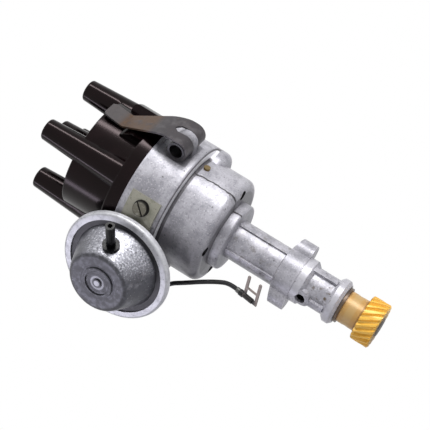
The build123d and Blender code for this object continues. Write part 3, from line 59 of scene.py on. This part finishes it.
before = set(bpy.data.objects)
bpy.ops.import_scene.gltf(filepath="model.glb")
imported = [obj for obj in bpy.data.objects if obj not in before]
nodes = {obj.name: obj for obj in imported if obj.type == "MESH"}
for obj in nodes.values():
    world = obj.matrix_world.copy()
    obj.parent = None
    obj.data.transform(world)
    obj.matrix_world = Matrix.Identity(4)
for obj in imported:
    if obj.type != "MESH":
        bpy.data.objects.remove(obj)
solids_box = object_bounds()

# The shaft's line, and the heights and radii that the finishes follow.
SHAFT = ((0, 0, 0), (0, 0, 1))
GEAR_TOP = -0.0415
HUB_HIGHLIGHT_BAND = (-0.0372, -0.0336)
HUB_TOP = -0.0299
COLLAR_LOW = -0.0281
COLLAR_TOP = -0.0211
OIL_HOLE_Z = -0.0071
PILOT_LOW = -0.0049
NECK_LOW = 0.012
NECK_TOP = 0.042
DISC_LOW = 0.0445
BOWL_LOW = 0.0503
FOOT_R = 0.0275
BOWL_R = 0.0331
CUP_LOW = 0.0788
CUP_R = 0.0392
UNIT_Z = 0.091
SHANK_R = 0.0125
SHANK_STAIN_Z = -0.0165
SHANK_STAIN_AZIMUTH = -8
UNIT_SHADOW_AZIMUTH = -62
OIL_HOLE_R = 0.0031
OIL_HOLE_AZIMUTH = -47
VENTS = 4
VENT_R = 0.0029
VENT_RING_R = 0.0275
VENT_AZIMUTH = 57
MOULD_LINE_AZIMUTH = 37.7
MOULD_LINE_HALF = 0.00036
MOULD_LINE_SWAY = 0.0022
CLIP_LUG = (0.0273, -0.0369, 0.0905)
BRACKET_SCREW_AZIMUTH = -18
SCREW_EDGE_R = 0.0040
SCREW_SLOT_OUT = 0.04355
CRIMP_CENTRE = (-0.0248, -0.0085, 0.0175)
CLIP_BEND_LOW = 0.114
CLIP_BEND_TOP = 0.1285
CLIP_TAB_LOW = 0.1290

# Axis of the vacuum unit: it leaves the cup at an angle, beside the shaft.
UNIT_AZIMUTH = radians(-38.5)
UNIT_OUT = Vector((sin(UNIT_AZIMUTH), -cos(UNIT_AZIMUTH), 0))
UNIT_SIDE = Vector((cos(UNIT_AZIMUTH), sin(UNIT_AZIMUTH), 0))
UNIT_BESIDE = 0.0254
UNIT_CENTRE = Vector((0, 0, UNIT_Z)) - UNIT_BESIDE * UNIT_SIDE
UNIT_DOME_FOOT = 0.0478
UNIT_FACE = 0.0655
UNIT_GROOVE_R = (0.0268, 0.0300)
UNIT_RINGS_R = 0.0110
UNIT_DOT_R = 0.0014
UNIT_EYE_R = (0.0034, 0.0042)
UNIT_RING_PITCH = 3600.0  # radians of ring per metre out from the axis

LEAD_R = 0.00135

FLOOR_HALF = 1.6
FLOOR_GAP = 0.0008
FLOOR_PALENESS = 0.80
FLOOR_GLOW = 0.34
WORLD_LIGHT = 0.24
LAMPS_AIM = Vector((0, 0, 0.06))


def show(name, data):
    """Puts new data into the scene, at the origin."""
    piece = bpy.data.objects.new(name, data)
    bpy.context.scene.collection.objects.link(piece)
    return piece


def round_shaft(radius, azimuth, z):
    """Point beside the shaft, by its azimuth in degrees from -Y towards +X."""
    return (radius * sin(radians(azimuth)), -radius * cos(radians(azimuth)), z)


# ---------------------------------------------------------------- camera
def aim_camera():
    """Camera that looks up from a little below, rolled so that the shaft lies across the frame."""
    rise = radians(12.15)
    roll = radians(31.5)
    distance = 0.902
    target = Vector((0.0055, 0.0, 0.0616))
    frame_side = 430.0  # pixels
    focal_length = 1560.0  # pixels
    sensor = 36.0  # millimetres
    ahead = Vector((0, cos(rise), sin(rise)))
    upright = Vector((0, -sin(rise), cos(rise)))
    right = sin(roll) * Vector((1, 0, 0)) - cos(roll) * upright
    up = cos(roll) * Vector((1, 0, 0)) + sin(roll) * upright
    turn = Matrix((right, up, -ahead)).transposed().to_4x4()
    data = bpy.data.cameras.new("camera")
    data.sensor_fit = "HORIZONTAL"
    data.sensor_width = sensor
    data.lens = sensor * focal_length / frame_side
    data.clip_start = 0.01
    data.clip_end = 10.0
    camera = show("camera", data)
    camera.matrix_world = Matrix.Translation(target - distance * ahead) @ turn
    bpy.context.scene.camera = camera


# ---------------------------------------------------------------- the steps of a finish
class Finish:
    """A material and the few steps that its nodes are made of.

    A mask is a value from 0 to 1 that says where a colour or a height goes. Every mask follows the
    piece's own coordinates, so it stays with the piece when the piece moves.
    """

    def __init__(self, name, colour, roughness, metallic=0.0, specular=0.5):
        self.material = bpy.data.materials.new(name)
        self.material.use_nodes = True
        self.tree = self.material.node_tree
        self.shader = self.tree.nodes["Principled BSDF"]
        self.shader.inputs["Base Color"].default_value = (*colour, 1)
        self.shader.inputs["Roughness"].default_value = roughness
        self.shader.inputs["Metallic"].default_value = metallic
        self.shader.inputs["Specular IOR Level"].default_value = specular
        self.place = self.tree.nodes.new("ShaderNodeTexCoord").outputs["Object"]

    def node(self, kind, settings=(), **inputs):
        """New node. An input is given by its name, or as i0, i1, i2 by its place."""
        made = self.tree.nodes.new(kind)
        for key, value in dict(settings).items():
            setattr(made, key, value)
        for key, value in inputs.items():
            by_place = key[0] == "i" and key[1:].isdigit()
            socket = made.inputs[int(key[1:])] if by_place else made.inputs[key]
            if isinstance(value, bpy.types.NodeSocket):
                self.tree.links.new(value, socket)
            else:
                socket.default_value = value
        return made

    def math(self, operation, *values, clamp=False):
        """Sum, product or other operation on plain values."""
        inputs = {f"i{i}": value for i, value in enumerate(values)}
        return self.node("ShaderNodeMath", dict(operation=operation, use_clamp=clamp), **inputs).outputs[0]

    def vector(self, operation, first, second=None):
        """Operation on two points or directions, or the length of one."""
        made = self.node("ShaderNodeVectorMath", dict(operation=operation), i0=first)
        if isinstance(second, bpy.types.NodeSocket):
            self.tree.links.new(second, made.inputs[1])
        elif second is not None:
            made.inputs[1].default_value = second
        return made

    def times(self, mask, *others):
        """Where all the masks meet. A plain number thins the mask."""
        for other in others:
            mask = self.math("MULTIPLY", mask, other, clamp=True)
        return mask

    def either(self, first, second):
        """Where one mask or the other is."""
        return self.math("ADD", first, second, clamp=True)

    def step(self, value, low, high):
        """0 at low, 1 at high, smooth between."""
        made = self.node("ShaderNodeMapRange", dict(interpolation_type="SMOOTHSTEP"), Value=value)
        made.inputs["From Min"].default_value = low
        made.inputs["From Max"].default_value = high
        return made.outputs["Result"]

    def between(self, value, low, high, soft):
        """1 from low to high, 0 outside, fading over a short way."""
        return self.times(self.step(value, low - soft, low), self.step(value, high + soft, high))

    def noise(self, size, detail):
        """Grey noise whose patches are about a size across."""
        made = self.node("ShaderNodeTexNoise", Vector=self.place, Scale=1.0 / size, Detail=detail,
                         Roughness=0.55)
        return made.outputs["Fac"]

    def patches(self, size, detail, low, high):
        """Patches of noise, wider where low and high are lower."""
        return self.step(self.noise(size, detail), low, high)

    def spots(self, size, low, high):
        """Round spots on a loose grid."""
        cells = self.node("ShaderNodeTexVoronoi", Vector=self.place, Scale=1.0 / size, Randomness=1.0)
        return self.step(cells.outputs["Distance"], high, low)

    def height(self):
        """Height above the clamp flange's seat."""
        return self.node("ShaderNodeSeparateXYZ", Vector=self.place).outputs["Z"]

    def near(self, point, reach, soft):
        """1 near a point of the model, 0 away from it."""
        away = self.vector("DISTANCE", self.place, point)
        return self.step(away.outputs["Value"], reach + soft, reach)

    def along(self, point, direction):
        """Signed distance from a point, measured along a direction."""
        shifted = self.vector("SUBTRACT", self.place, point).outputs[0]
        return self.vector("DOT_PRODUCT", shifted, direction).outputs["Value"]

    def off_line(self, point, direction):
        """Distance from a line through a point."""
        shifted = self.vector("SUBTRACT", self.place, point).outputs[0]
        crossed = self.vector("CROSS_PRODUCT", shifted, direction).outputs[0]
        return self.vector("LENGTH", crossed).outputs["Value"]

    def bore(self, point, direction, radius, start, end):
        """1 on the wall of a hole drilled along a direction."""
        wall = self.step(self.off_line(point, direction), radius + 0.0002, radius + 0.00005)
        return self.times(wall, self.between(self.along(point, direction), start, end, 0.0002))

    def tint(self, colour, mask):
        """Lays a colour over what the base colour holds."""
        base = self.shader.inputs["Base Color"]
        mix = self.node("ShaderNodeMix", dict(data_type="RGBA"), Factor=mask)
        under = mix.inputs[6]
        if base.is_linked:
            self.tree.links.new(base.links[0].from_socket, under)
        else:
            under.default_value = base.default_value
        mix.inputs[7].default_value = (*colour, 1)
        self.tree.links.new(mix.outputs[2], base)

    def dull(self, low, high, mask):
        """Roughness that varies between two values."""
        made = self.node("ShaderNodeMapRange", Value=mask)
        made.inputs["To Min"].default_value = low
        made.inputs["To Max"].default_value = high
        self.tree.links.new(made.outputs["Result"], self.shader.inputs["Roughness"])

    def relief(self, mask, depth, strength):
        """Raises the surface where the mask is high."""
        made = self.node("ShaderNodeBump", Height=mask, Distance=depth, Strength=strength)
        normal = self.shader.inputs["Normal"]
        if normal.is_linked:
            self.tree.links.new(normal.links[0].from_socket, made.inputs["Normal"])
        self.tree.links.new(made.outputs[0], normal)


# ---------------------------------------------------------------- the housing's finish
def mould_line(f, height):
    """Crooked joint of the two mould halves, down one side of the bowl."""
    azimuth = radians(MOULD_LINE_AZIMUTH)
    wobble = f.math("MULTIPLY_ADD", f.noise(0.008, 3), 2 * MOULD_LINE_SWAY, -MOULD_LINE_SWAY)
    off = f.along((0, 0, 0), (cos(azimuth), sin(azimuth), 0))
    off = f.math("ADD", off, wobble)
    this_side = f.step(f.along((0, 0, 0), (sin(azimuth), -cos(azimuth), 0)), 0.0, 0.005)
    bowl = f.between(height, DISC_LOW, CUP_LOW - 0.0003, 0.0005)
    joint = f.between(off, -MOULD_LINE_HALF, MOULD_LINE_HALF, 0.00032)
    return f.times(joint, f.times(this_side, bowl))


def drilled_holes(f):
    """Mask of the walls of the oil hole in the shank and of the vents in the bowl's floor, for painted
    shade.
    """
    holes = f.bore((0, 0, OIL_HOLE_Z), round_shaft(1, OIL_HOLE_AZIMUTH, 0), OIL_HOLE_R, 0.0065, 0.0112)
    for i in range(VENTS):
        place = round_shaft(VENT_RING_R, VENT_AZIMUTH + 360 / VENTS * i, 0.05)
        holes = f.either(holes, f.bore(place, (0, 0, 1), VENT_R, -0.001, 0.0043))
    return holes


def paint_casting(f, height):
    """Cloudy grey of the casting, pitted and flecked, with its seats turned bright."""
    f.tint((0.27, 0.265, 0.295), f.patches(0.011, 5, 0.38, 0.66))
    f.tint((0.17, 0.165, 0.185), f.times(f.patches(0.0013, 3, 0.50, 0.72), 0.6))
    f.tint((0.68, 0.67, 0.71), f.times(f.patches(0.0009, 2, 0.57, 0.72), 0.5))
    pilot = f.between(height, PILOT_LOW, 0.0, 0.0002)
    collar = f.between(height, COLLAR_LOW, COLLAR_TOP, 0.0002)
    f.tint((0.55, 0.54, 0.58), f.times(f.either(pilot, collar), 0.6))


def paint_dirt_and_shadow(f, height):
    """Oil stains by the shank's end and on the neck, pits, and a patchy painted shadow of the vacuum unit
    on the bowl and cup.
    """
    shank = f.near(round_shaft(SHANK_R, SHANK_STAIN_AZIMUTH, SHANK_STAIN_Z), 0.003, 0.007)
    f.tint((0.11, 0.08, 0.05), f.times(shank, f.patches(0.0026, 3, 0.53, 0.66)))
    neck = f.between(height, NECK_LOW, NECK_TOP, 0.003)
    f.tint((0.16, 0.145, 0.13), f.times(neck, f.patches(0.0035, 4, 0.52, 0.70), 0.6))
    f.tint((0.07, 0.06, 0.065), f.times(f.spots(0.0065, 0.05, 0.10), 0.7))
    # Painted shadow of the vacuum unit: the bowl and cup darkened in patches on its side.
    unit_shadow = f.step(f.along((0, 0, 0), round_shaft(1, UNIT_SHADOW_AZIMUTH, 0)), 0.019, 0.033)
    unit_shadow = f.times(unit_shadow, f.between(height, 0.046, 0.098, 0.004), f.patches(0.014, 3, 0.25, 0.55))
    f.tint((0.115, 0.110, 0.122), f.times(unit_shadow, 0.72))


def paint_corners(f, height, radius):
    """Painted light on the cup's underside, painted shade in its corners, round the clip lug and at the
    bowl's foot, and the mould line.

    Gives back the mask of the mould line.
    """
    # Painted light: the cup's underside lightened as if lit.
    under = f.between(height, CUP_LOW - 0.0016, CUP_LOW + 0.0006, 0.0004)
    ledge = f.between(radius, BOWL_R + 0.0014, CUP_R - 0.0008, 0.0004)
    f.tint((0.88, 0.87, 0.90), f.times(under, f.times(ledge, 0.9)))
    # Painted shade in the inner and outer corners of the cup's underside.
    inner = f.between(radius, BOWL_R, BOWL_R + 0.0006, 0.0004)
    outer = f.between(radius, CUP_R - 0.0004, CUP_R + 0.0002, 0.0003)
    f.tint((0.05, 0.045, 0.05), f.times(under, f.times(f.either(inner, outer), 0.8)))
    # Painted shade round the clip's lug on the cup.
    lug = f.near(CLIP_LUG, 0.0052, 0.0085)
    f.tint((0.045, 0.042, 0.046), f.times(lug, 0.75))
    mould = mould_line(f, height)
    f.tint((0.030, 0.026, 0.030), f.times(mould, 0.95))
    # Painted shade in the corner at the bowl's foot.
    foot = f.times(f.between(height, BOWL_LOW - 0.0004, BOWL_LOW + 0.0003, 0.0004),
                   f.step(radius, FOOT_R + 0.0010, FOOT_R))
    f.tint((0.06, 0.055, 0.06), f.times(foot, 0.6))
    return mould


def cast_aluminium():
    """Sand-blasted casting with turned seats, a mould line and oil stains, with painted shade in its
    holes, its corners and beside the vacuum unit, and painted light under the cup.
    """
    f = Finish("cast_aluminium", (0.43, 0.42, 0.46), 0.42, metallic=0.3)
    height = f.height()
    paint_casting(f, height)
    paint_dirt_and_shadow(f, height)
    mould = paint_corners(f, height, f.off_line(*SHAFT))
    # Painted shade: the walls of the oil hole and the vents near black.
    f.tint((0.006, 0.005, 0.006), drilled_holes(f))
    f.dull(0.26, 0.50, f.noise(0.004, 3))
    f.relief(f.noise(0.0008, 2), 0.00008, 0.7)
    f.relief(f.noise(0.005, 3), 0.0002, 0.4)
    f.relief(f.math("SUBTRACT", 1.0, mould), 0.0002, 0.8)
    return f.material


# ---------------------------------------------------------------- the other finishes
def moulded_cap():
    """Glossy dark brown phenolic, clean moulded, with faint waves and handling haze."""
    f = Finish("moulded_cap", (0.0014, 0.0005, 0.0006), 0.15, specular=0.15)
    f.shader.inputs["Specular Tint"].default_value = (1.0, 0.80, 0.82, 1)
    f.tint((0.0040, 0.0017, 0.0020), f.patches(0.012, 3, 0.4, 0.7))
    f.tint((0.05, 0.042, 0.046), f.times(f.spots(0.0045, 0.03, 0.07), 0.4))
    f.dull(0.13, 0.22, f.noise(0.008, 3))
    f.relief(f.noise(0.012, 1), 0.00004, 0.15)
    return f.material


def dark_moulding(name, colour, roughness, specular=0.3):
    """Matt dark moulding, rubber, felt or fibre with a fine grain."""
    f = Finish(name, colour, roughness, specular=specular)
    scuffed = tuple(2.6 * v + 0.01 for v in colour)
    f.tint(scuffed, f.times(f.patches(0.0016, 3, 0.5, 0.75), 0.5))
    f.dull(roughness - 0.12, roughness + 0.12, f.noise(0.002, 3))
    f.relief(f.noise(0.0006, 2), 0.00003, 0.5)
    return f.material


def oiled_bronze(name, colour, oil, metallic=0.6):
    """Bronze with darker films of oil and bright worn spots, still open to more steps."""
    f = Finish(name, colour, 0.34, metallic=metallic)
    f.tint(oil, f.times(f.patches(0.005, 4, 0.45, 0.75), 0.7))
    worn_and_lit = tuple(min(1, 1.2 * v + 0.05) for v in colour)
    f.tint(worn_and_lit, f.times(f.patches(0.0018, 3, 0.56, 0.72), 0.6))
    f.dull(0.24, 0.46, f.noise(0.002, 3))
    f.relief(f.noise(0.0012, 3), 0.00003, 0.5)
    return f


def gear_bronze():
    """Golden oiled gear with a browner hub, a painted highlight band round the hub's middle, painted light
    between the teeth, and darker at the hub's two edges.
    """
    f = oiled_bronze("gear_bronze", (0.90, 0.53, 0.085), (0.80, 0.43, 0.06), 0.1)
    height = f.height()
    hub = f.step(height, GEAR_TOP - 0.0005, GEAR_TOP + 0.0003)
    f.tint((0.49, 0.28, 0.09), f.times(hub, 0.9))
    # Painted highlight: a lighter band round the middle of the hub.
    f.tint((0.54, 0.36, 0.15), f.times(f.between(height, *HUB_HIGHLIGHT_BAND, 0.0012), 0.7))
    f.tint((0.24, 0.12, 0.035), f.times(hub, f.patches(0.006, 3, 0.55, 0.75)))
    # Painted light: the roots between the teeth lightened against their shade.
    tooth_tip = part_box("drive_gear")[1][0]
    between_teeth = f.step(f.off_line(*SHAFT), tooth_tip - 0.0004, tooth_tip - 0.0020)
    toothed = f.step(height, GEAR_TOP + 0.0005, GEAR_TOP - 0.0003)
    f.tint((0.95, 0.66, 0.15), f.times(between_teeth, toothed))
    low_edge = f.between(height, GEAR_TOP - 0.0001, GEAR_TOP + 0.0007, 0.0006)
    top_edge = f.between(height, HUB_TOP - 0.0003, HUB_TOP + 0.0004, 0.0006)
    f.tint((0.25, 0.11, 0.02), f.times(f.either(low_edge, top_edge), 0.7))
    return f.material


def steel(name, colour, film, roughness=0.34, metallic=0.6):
    """Steel or plated steel with a cloudy film and fine scratches."""
    f = Finish(name, colour, roughness, metallic=metallic)
    f.tint(film, f.times(f.patches(0.005, 4, 0.42, 0.7), 0.8))
    scratched = tuple(0.45 * v for v in film)
    f.tint(scratched, f.times(f.patches(0.0012, 3, 0.58, 0.76), 0.7))
    f.dull(roughness - 0.1, roughness + 0.14, f.noise(0.003, 3))
    f.relief(f.noise(0.0012, 2), 0.00004, 0.5)
    return f.material


def spring_clip_steel():
    """Dark clip steel with dull rust where the strap leaves the cap."""
    f = Finish("clip_steel", (0.050, 0.045, 0.049), 0.38, metallic=0.4, specular=0.3)
    f.tint((0.085, 0.078, 0.083), f.patches(0.006, 4, 0.46, 0.70))
    height = f.height()
    bend = f.between(height, CLIP_BEND_LOW, CLIP_BEND_TOP, 0.006)
    f.tint((0.085, 0.052, 0.034), f.times(bend, f.patches(0.005, 4, 0.25, 0.50)))
    tab = f.step(height, CLIP_TAB_LOW, CLIP_TAB_LOW + 0.003)
    f.tint((0.080, 0.072, 0.072), f.times(tab, 0.75))
    f.tint((0.11, 0.065, 0.042), f.times(f.patches(0.0014, 3, 0.60, 0.74), 0.35))
    f.tint((0.24, 0.23, 0.24), f.times(f.spots(0.003, 0.04, 0.10), 0.35))
    f.dull(0.26, 0.55, f.noise(0.002, 4))
    f.relief(f.noise(0.0012, 4), 0.00006, 0.7)
    return f.material


def capsule_steel():
    """Dull zinc-grey pressing: spun rings on its flat end, one side of the dome painted lighter as if lit
    and flecked with bright specks, painted shade in the groove by the rim.
    """
    f = Finish("capsule_steel", (0.090, 0.090, 0.105), 0.40, metallic=0.4)
    off = f.off_line(UNIT_CENTRE, UNIT_OUT)
    station = f.along(UNIT_CENTRE, UNIT_OUT)
    f.tint((0.19, 0.19, 0.215), f.patches(0.006, 4, 0.50, 0.70))
    # Painted light: one side of the dome lightened, with bright specks on it.
    worn_and_lit = f.times(f.step(f.along(UNIT_CENTRE, UNIT_SIDE), 0.009, 0.022),
                     f.between(station, UNIT_DOME_FOOT, UNIT_FACE, 0.001))
    f.tint((0.36, 0.36, 0.40), f.times(worn_and_lit, 0.75))
    f.tint((0.72, 0.72, 0.78), f.times(worn_and_lit, f.times(f.patches(0.0010, 3, 0.50, 0.62), 0.8)))
    f.tint((0.060, 0.058, 0.068), f.times(f.patches(0.0012, 3, 0.52, 0.68), 0.75))
    f.tint((0.55, 0.55, 0.60), f.times(f.spots(0.0020, 0.06, 0.16), 0.6))
    # Painted shade in the groove between the dome and the rim.
    f.tint((0.014, 0.013, 0.016), f.times(f.between(off, *UNIT_GROOVE_R, 0.0010), 0.9))
    face = f.step(station, UNIT_FACE, UNIT_FACE + 0.0007)
    f.tint((0.058, 0.057, 0.066), f.times(face, f.patches(0.003, 4, 0.36, 0.58)))
    rings = f.step(f.math("SINE", f.math("MULTIPLY", off, UNIT_RING_PITCH)), -0.6, 0.7)
    middle = f.times(face, f.step(off, UNIT_RINGS_R + 0.0018, UNIT_RINGS_R))
    f.tint((0.055, 0.054, 0.064), f.times(middle, f.times(rings, 0.75)))
    f.tint((0.42, 0.42, 0.46), f.times(face, f.step(off, UNIT_DOT_R + 0.0007, UNIT_DOT_R)))
    f.tint((0.30, 0.30, 0.33), f.times(face, f.between(off, *UNIT_EYE_R, 0.0004)))
    f.dull(0.26, 0.52, f.noise(0.003, 4))
    f.relief(f.noise(0.0013, 3), 0.00005, 0.6)
    f.relief(f.times(middle, rings), 0.00010, 0.5)
    return f.material


def slotted_screw():
    """Oily screw head: olive film, with painted shade round its edge and in the slot."""
    f = Finish("slotted_screw", (0.155, 0.145, 0.115), 0.36, metallic=0.5)
    seat = (0, 0, UNIT_Z)
    outwards = round_shaft(1, BRACKET_SCREW_AZIMUTH, 0)
    f.tint((0.26, 0.25, 0.22), f.patches(0.0016, 3, 0.48, 0.66))
    # Painted shade round the edge of the head.
    edge = f.step(f.off_line(seat, outwards), SCREW_EDGE_R - 0.0003, SCREW_EDGE_R + 0.0003)
    f.tint((0.012, 0.011, 0.010), f.times(edge, 0.85))
    # Painted shade in the slot.
    slot = f.step(f.along(seat, outwards), SCREW_SLOT_OUT + 0.0002, SCREW_SLOT_OUT)
    f.tint((0.012, 0.011, 0.010), slot)
    f.dull(0.26, 0.5, f.noise(0.0012, 3))
    f.relief(f.noise(0.0010, 2), 0.00003, 0.5)
    return f.material


def fork_brass():
    """Tarnished terminal brass, near black round the crimp."""
    f = Finish("fork_brass", (0.25, 0.21, 0.19), 0.4, metallic=0.4)
    f.tint((0.19, 0.15, 0.13), f.patches(0.002, 3, 0.45, 0.7))
    f.tint((0.02, 0.018, 0.018), f.near(CRIMP_CENTRE, 0.0035, 0.003))
    f.dull(0.3, 0.55, f.noise(0.0015, 3))
    f.relief(f.noise(0.0008, 2), 0.00002, 0.5)
    return f.material


def dress(rubber):
    """Gives every node of the model its finish."""
    cap = moulded_cap()
    ground = steel("ground_steel", (0.34, 0.34, 0.355), (0.22, 0.22, 0.22))
    capsule = capsule_steel()
    clip = spring_clip_steel()
    brass = oiled_bronze("brass", (0.46, 0.33, 0.13), (0.28, 0.19, 0.07)).material
    plated = steel("passivated_plate", (0.31, 0.30, 0.25), (0.20, 0.20, 0.155), 0.4, metallic=0.35)
    finishes = {
        "housing": cast_aluminium(),
        "distributor_cap": cap,
        "rotor_arm": cap,
        "drive_gear": gear_bronze(),
        "shaft_bush_upper": brass,
        "shaft_bush_lower": brass,
        "cap_terminals": brass,
        "rotor_blade": brass,
        "brass_plug": oiled_bronze("plug_brass", (0.17, 0.12, 0.05), (0.07, 0.05, 0.02)).material,
        "clip_pivots": steel("pivot_steel", (0.030, 0.029, 0.032), (0.012, 0.012, 0.013)),
        "lead_crimp": steel("crimp_steel", (0.10, 0.10, 0.095), (0.05, 0.05, 0.05)),
        "bracket_screw": slotted_screw(),
        "fork_terminal": fork_brass(),
        "thrust_washer": steel("washer_steel", (0.12, 0.085, 0.06), (0.06, 0.04, 0.03)),
        "clip_front": clip,
        "clip_rear": clip,
        "vacuum_front_shell": capsule,
        "vacuum_back_shell": capsule,
        "vacuum_crimp_ring": steel("rolled_rim", (0.60, 0.60, 0.63), (0.40, 0.40, 0.43), metallic=0.25),
        "vacuum_bracket": plated,
        "breaker_base_plate": plated,
        "breaker_plate": plated,
        "fixed_contact": plated,
        "contact_arm": plated,
        "vacuum_nipple": dark_moulding("nipple_plastic", (0.0025, 0.0025, 0.003), 0.22, specular=0.10),
        "carbon_brush": dark_moulding("carbon", (0.015, 0.015, 0.016), 0.6),
        "rubbing_block": dark_moulding("fibre", (0.16, 0.08, 0.04), 0.65),
        "felt_wick": dark_moulding("felt", (0.28, 0.26, 0.21), 0.85),
        "vacuum_diaphragm": rubber,
        "lead_grommet": rubber,
        "lead_sleeve": rubber,
        "lt_lead": rubber,
    }
    for name, solid in nodes.items():
        solid.material_slots[0].material = finishes.get(name, ground)


# ---------------------------------------------------------------- low-tension lead
def run_lead(rubber):
    """Insulated lead from the grommet in the cup to the crimp of the fork terminal."""
    route = [
        (-0.0398, 0.01066, 0.0900),
        (-0.0496, 0.01329, 0.0900),
        (-0.0565, 0.0118, 0.0820),
        (-0.0534, 0.0062, 0.0705),
        (-0.0426, -0.0006, 0.0644),
        (-0.0362, -0.0050, 0.0540),
        (-0.0313, -0.0066, 0.0468),
        (-0.0264, -0.0052, 0.0390),
        (-0.0234, -0.0045, 0.0324),
        (-0.02404, -0.0060, 0.02663),
    ]
    data = bpy.data.curves.new("lead", "CURVE")
    data.dimensions = "3D"
    line = data.splines.new("NURBS")
    line.points.add(len(route) - 1)
    for point, place in zip(line.points, route):
        point.co = (*place, 1)
    line.order_u = 3
    line.use_endpoint_u = True
    line.resolution_u = 16
    data.bevel_depth = LEAD_R
    data.bevel_resolution = 6
    data.use_fill_caps = True
    data.materials.append(rubber)
    lead = show("lead", data)
    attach(lead, "body")
    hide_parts("lt_lead")


# ---------------------------------------------------------------- springs in pieces of their own
def stretch_governor_springs():
    """Splits the governor springs into one piece each side; each reaches from its post on the governor
    plate to its post on the cam's yoke.
    """
    for name, side in (("governor_spring_a", -1), ("governor_spring_b", 1)):
        data = nodes["governor_springs"].data.copy()
        mesh = bmesh.new()
        mesh.from_mesh(data)
        other = [v for v in mesh.verts if v.co.x * side < 0]
        bmesh.ops.delete(mesh, geom=other, context="VERTS")
        mesh.to_mesh(data)
        mesh.free()
        spring = show(name, data)
        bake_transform(spring)
        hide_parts("governor_springs")


def flatten_vacuum_spring():
    """Own copy of the vacuum unit's spring, fixed to the body in place of its node."""
    spring = show("diaphragm_spring", nodes["vacuum_spring"].data.copy())
    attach(spring, "body")
    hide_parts("vacuum_spring")
    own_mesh(spring)


# ---------------------------------------------------------------- floor and light
def seen_by(tree, *kinds):
    """1 for camera rays and for rays of the kinds named, 0 for those that carry soft light."""
    path = tree.nodes.new("ShaderNodeLightPath")
    seen = path.outputs["Is Camera Ray"]
    for kind in kinds:
        most = tree.nodes.new("ShaderNodeMath")
        most.operation = "MAXIMUM"
        tree.links.new(seen, most.inputs[0])
        tree.links.new(path.outputs[kind], most.inputs[1])
        seen = most.outputs[0]
    return seen


def set_world():
    """White to the camera and in reflections, softer grey as light."""
    world = bpy.data.worlds.new("studio")
    world.use_nodes = True
    tree = world.node_tree
    tree.nodes.clear()
    white = tree.nodes.new("ShaderNodeBackground")
    white.inputs["Color"].default_value = (1, 1, 1, 1)
    white.inputs["Strength"].default_value = 1.0
    soft = tree.nodes.new("ShaderNodeBackground")
    soft.inputs["Color"].default_value = (0.93, 0.96, 1, 1)
    soft.inputs["Strength"].default_value = WORLD_LIGHT
    mix = tree.nodes.new("ShaderNodeMixShader")
    tree.links.new(seen_by(tree, "Is Glossy Ray", "Is Transmission Ray"), mix.inputs[0])
    tree.links.new(soft.outputs[0], mix.inputs[1])
    tree.links.new(white.outputs[0], mix.inputs[2])
    out = tree.nodes.new("ShaderNodeOutputWorld")
    tree.links.new(mix.outputs[0], out.inputs["Surface"])
    bpy.context.scene.world = world


def floor_paint():
    """Pale paint, a little paler to the eye than the light makes it, and clear from below."""
    paint = bpy.data.materials.new("floor_paint")
    paint.use_nodes = True
    tree = paint.node_tree
    shader = tree.nodes["Principled BSDF"]
    shader.inputs["Base Color"].default_value = (FLOOR_PALENESS, FLOOR_PALENESS, FLOOR_PALENESS, 1)
    shader.inputs["Roughness"].default_value = 0.8
    shader.inputs["Emission Color"].default_value = (1, 1, 1, 1)
    paler = tree.nodes.new("ShaderNodeMath")
    paler.operation = "MULTIPLY"
    paler.inputs[1].default_value = FLOOR_GLOW
    tree.links.new(seen_by(tree, "Is Glossy Ray"), paler.inputs[0])
    tree.links.new(paler.outputs[0], shader.inputs["Emission Strength"])
    clear = tree.nodes.new("ShaderNodeBsdfTransparent")
    mix = tree.nodes.new("ShaderNodeMixShader")
    side = tree.nodes.new("ShaderNodeNewGeometry")
    tree.links.new(side.outputs["Backfacing"], mix.inputs[0])
    tree.links.new(shader.outputs[0], mix.inputs[1])
    tree.links.new(clear.outputs[0], mix.inputs[2])
    tree.links.new(mix.outputs[0], tree.nodes["Material Output"].inputs["Surface"])
    return paint


def lay_floor():
    """Pale floor just under the gear."""
    z = solids_box[0][2] - FLOOR_GAP
    corners = [(x * FLOOR_HALF, y * FLOOR_HALF, z) for x, y in ((-1, -1), (1, -1), (1, 1), (-1, 1))]
    data = bpy.data.meshes.new("floor")
    data.from_pydata(corners, [], [(0, 1, 2, 3)])
    floor = show("floor", data)
    data.materials.append(floor_paint())


def hang_lamp(name, place, size, watts, colour=(1, 1, 1)):
    """Strip or square lamp that faces the middle of the distributor."""
    data = bpy.data.lights.new(name, "AREA")
    data.shape = "RECTANGLE"
    data.size, data.size_y = size
    data.energy = watts
    data.color = colour
    heading = LAMPS_AIM - Vector(place)
    turn = heading.to_track_quat("-Z", "Y").to_matrix().to_4x4()
    show(name, data).matrix_world = Matrix.Translation(place) @ turn


aim_camera()
rubber = dark_moulding("rubber", (0.012, 0.012, 0.013), 0.5)
dress(rubber)
run_lead(rubber)
stretch_governor_springs()
flatten_vacuum_spring()
set_world()
lay_floor()
hang_lamp("key", (0.62, -0.40, 0.34), (0.11, 0.60), 4.4)
hang_lamp("front", (0.58, -0.66, 0.08), (0.30, 0.30), 2.7)
hang_lamp("edge", (-0.72, -0.10, 0.32), (0.10, 0.45), 1.1, (0.86, 0.84, 1.0))
bpy.context.scene.view_settings.view_transform = "Standard"
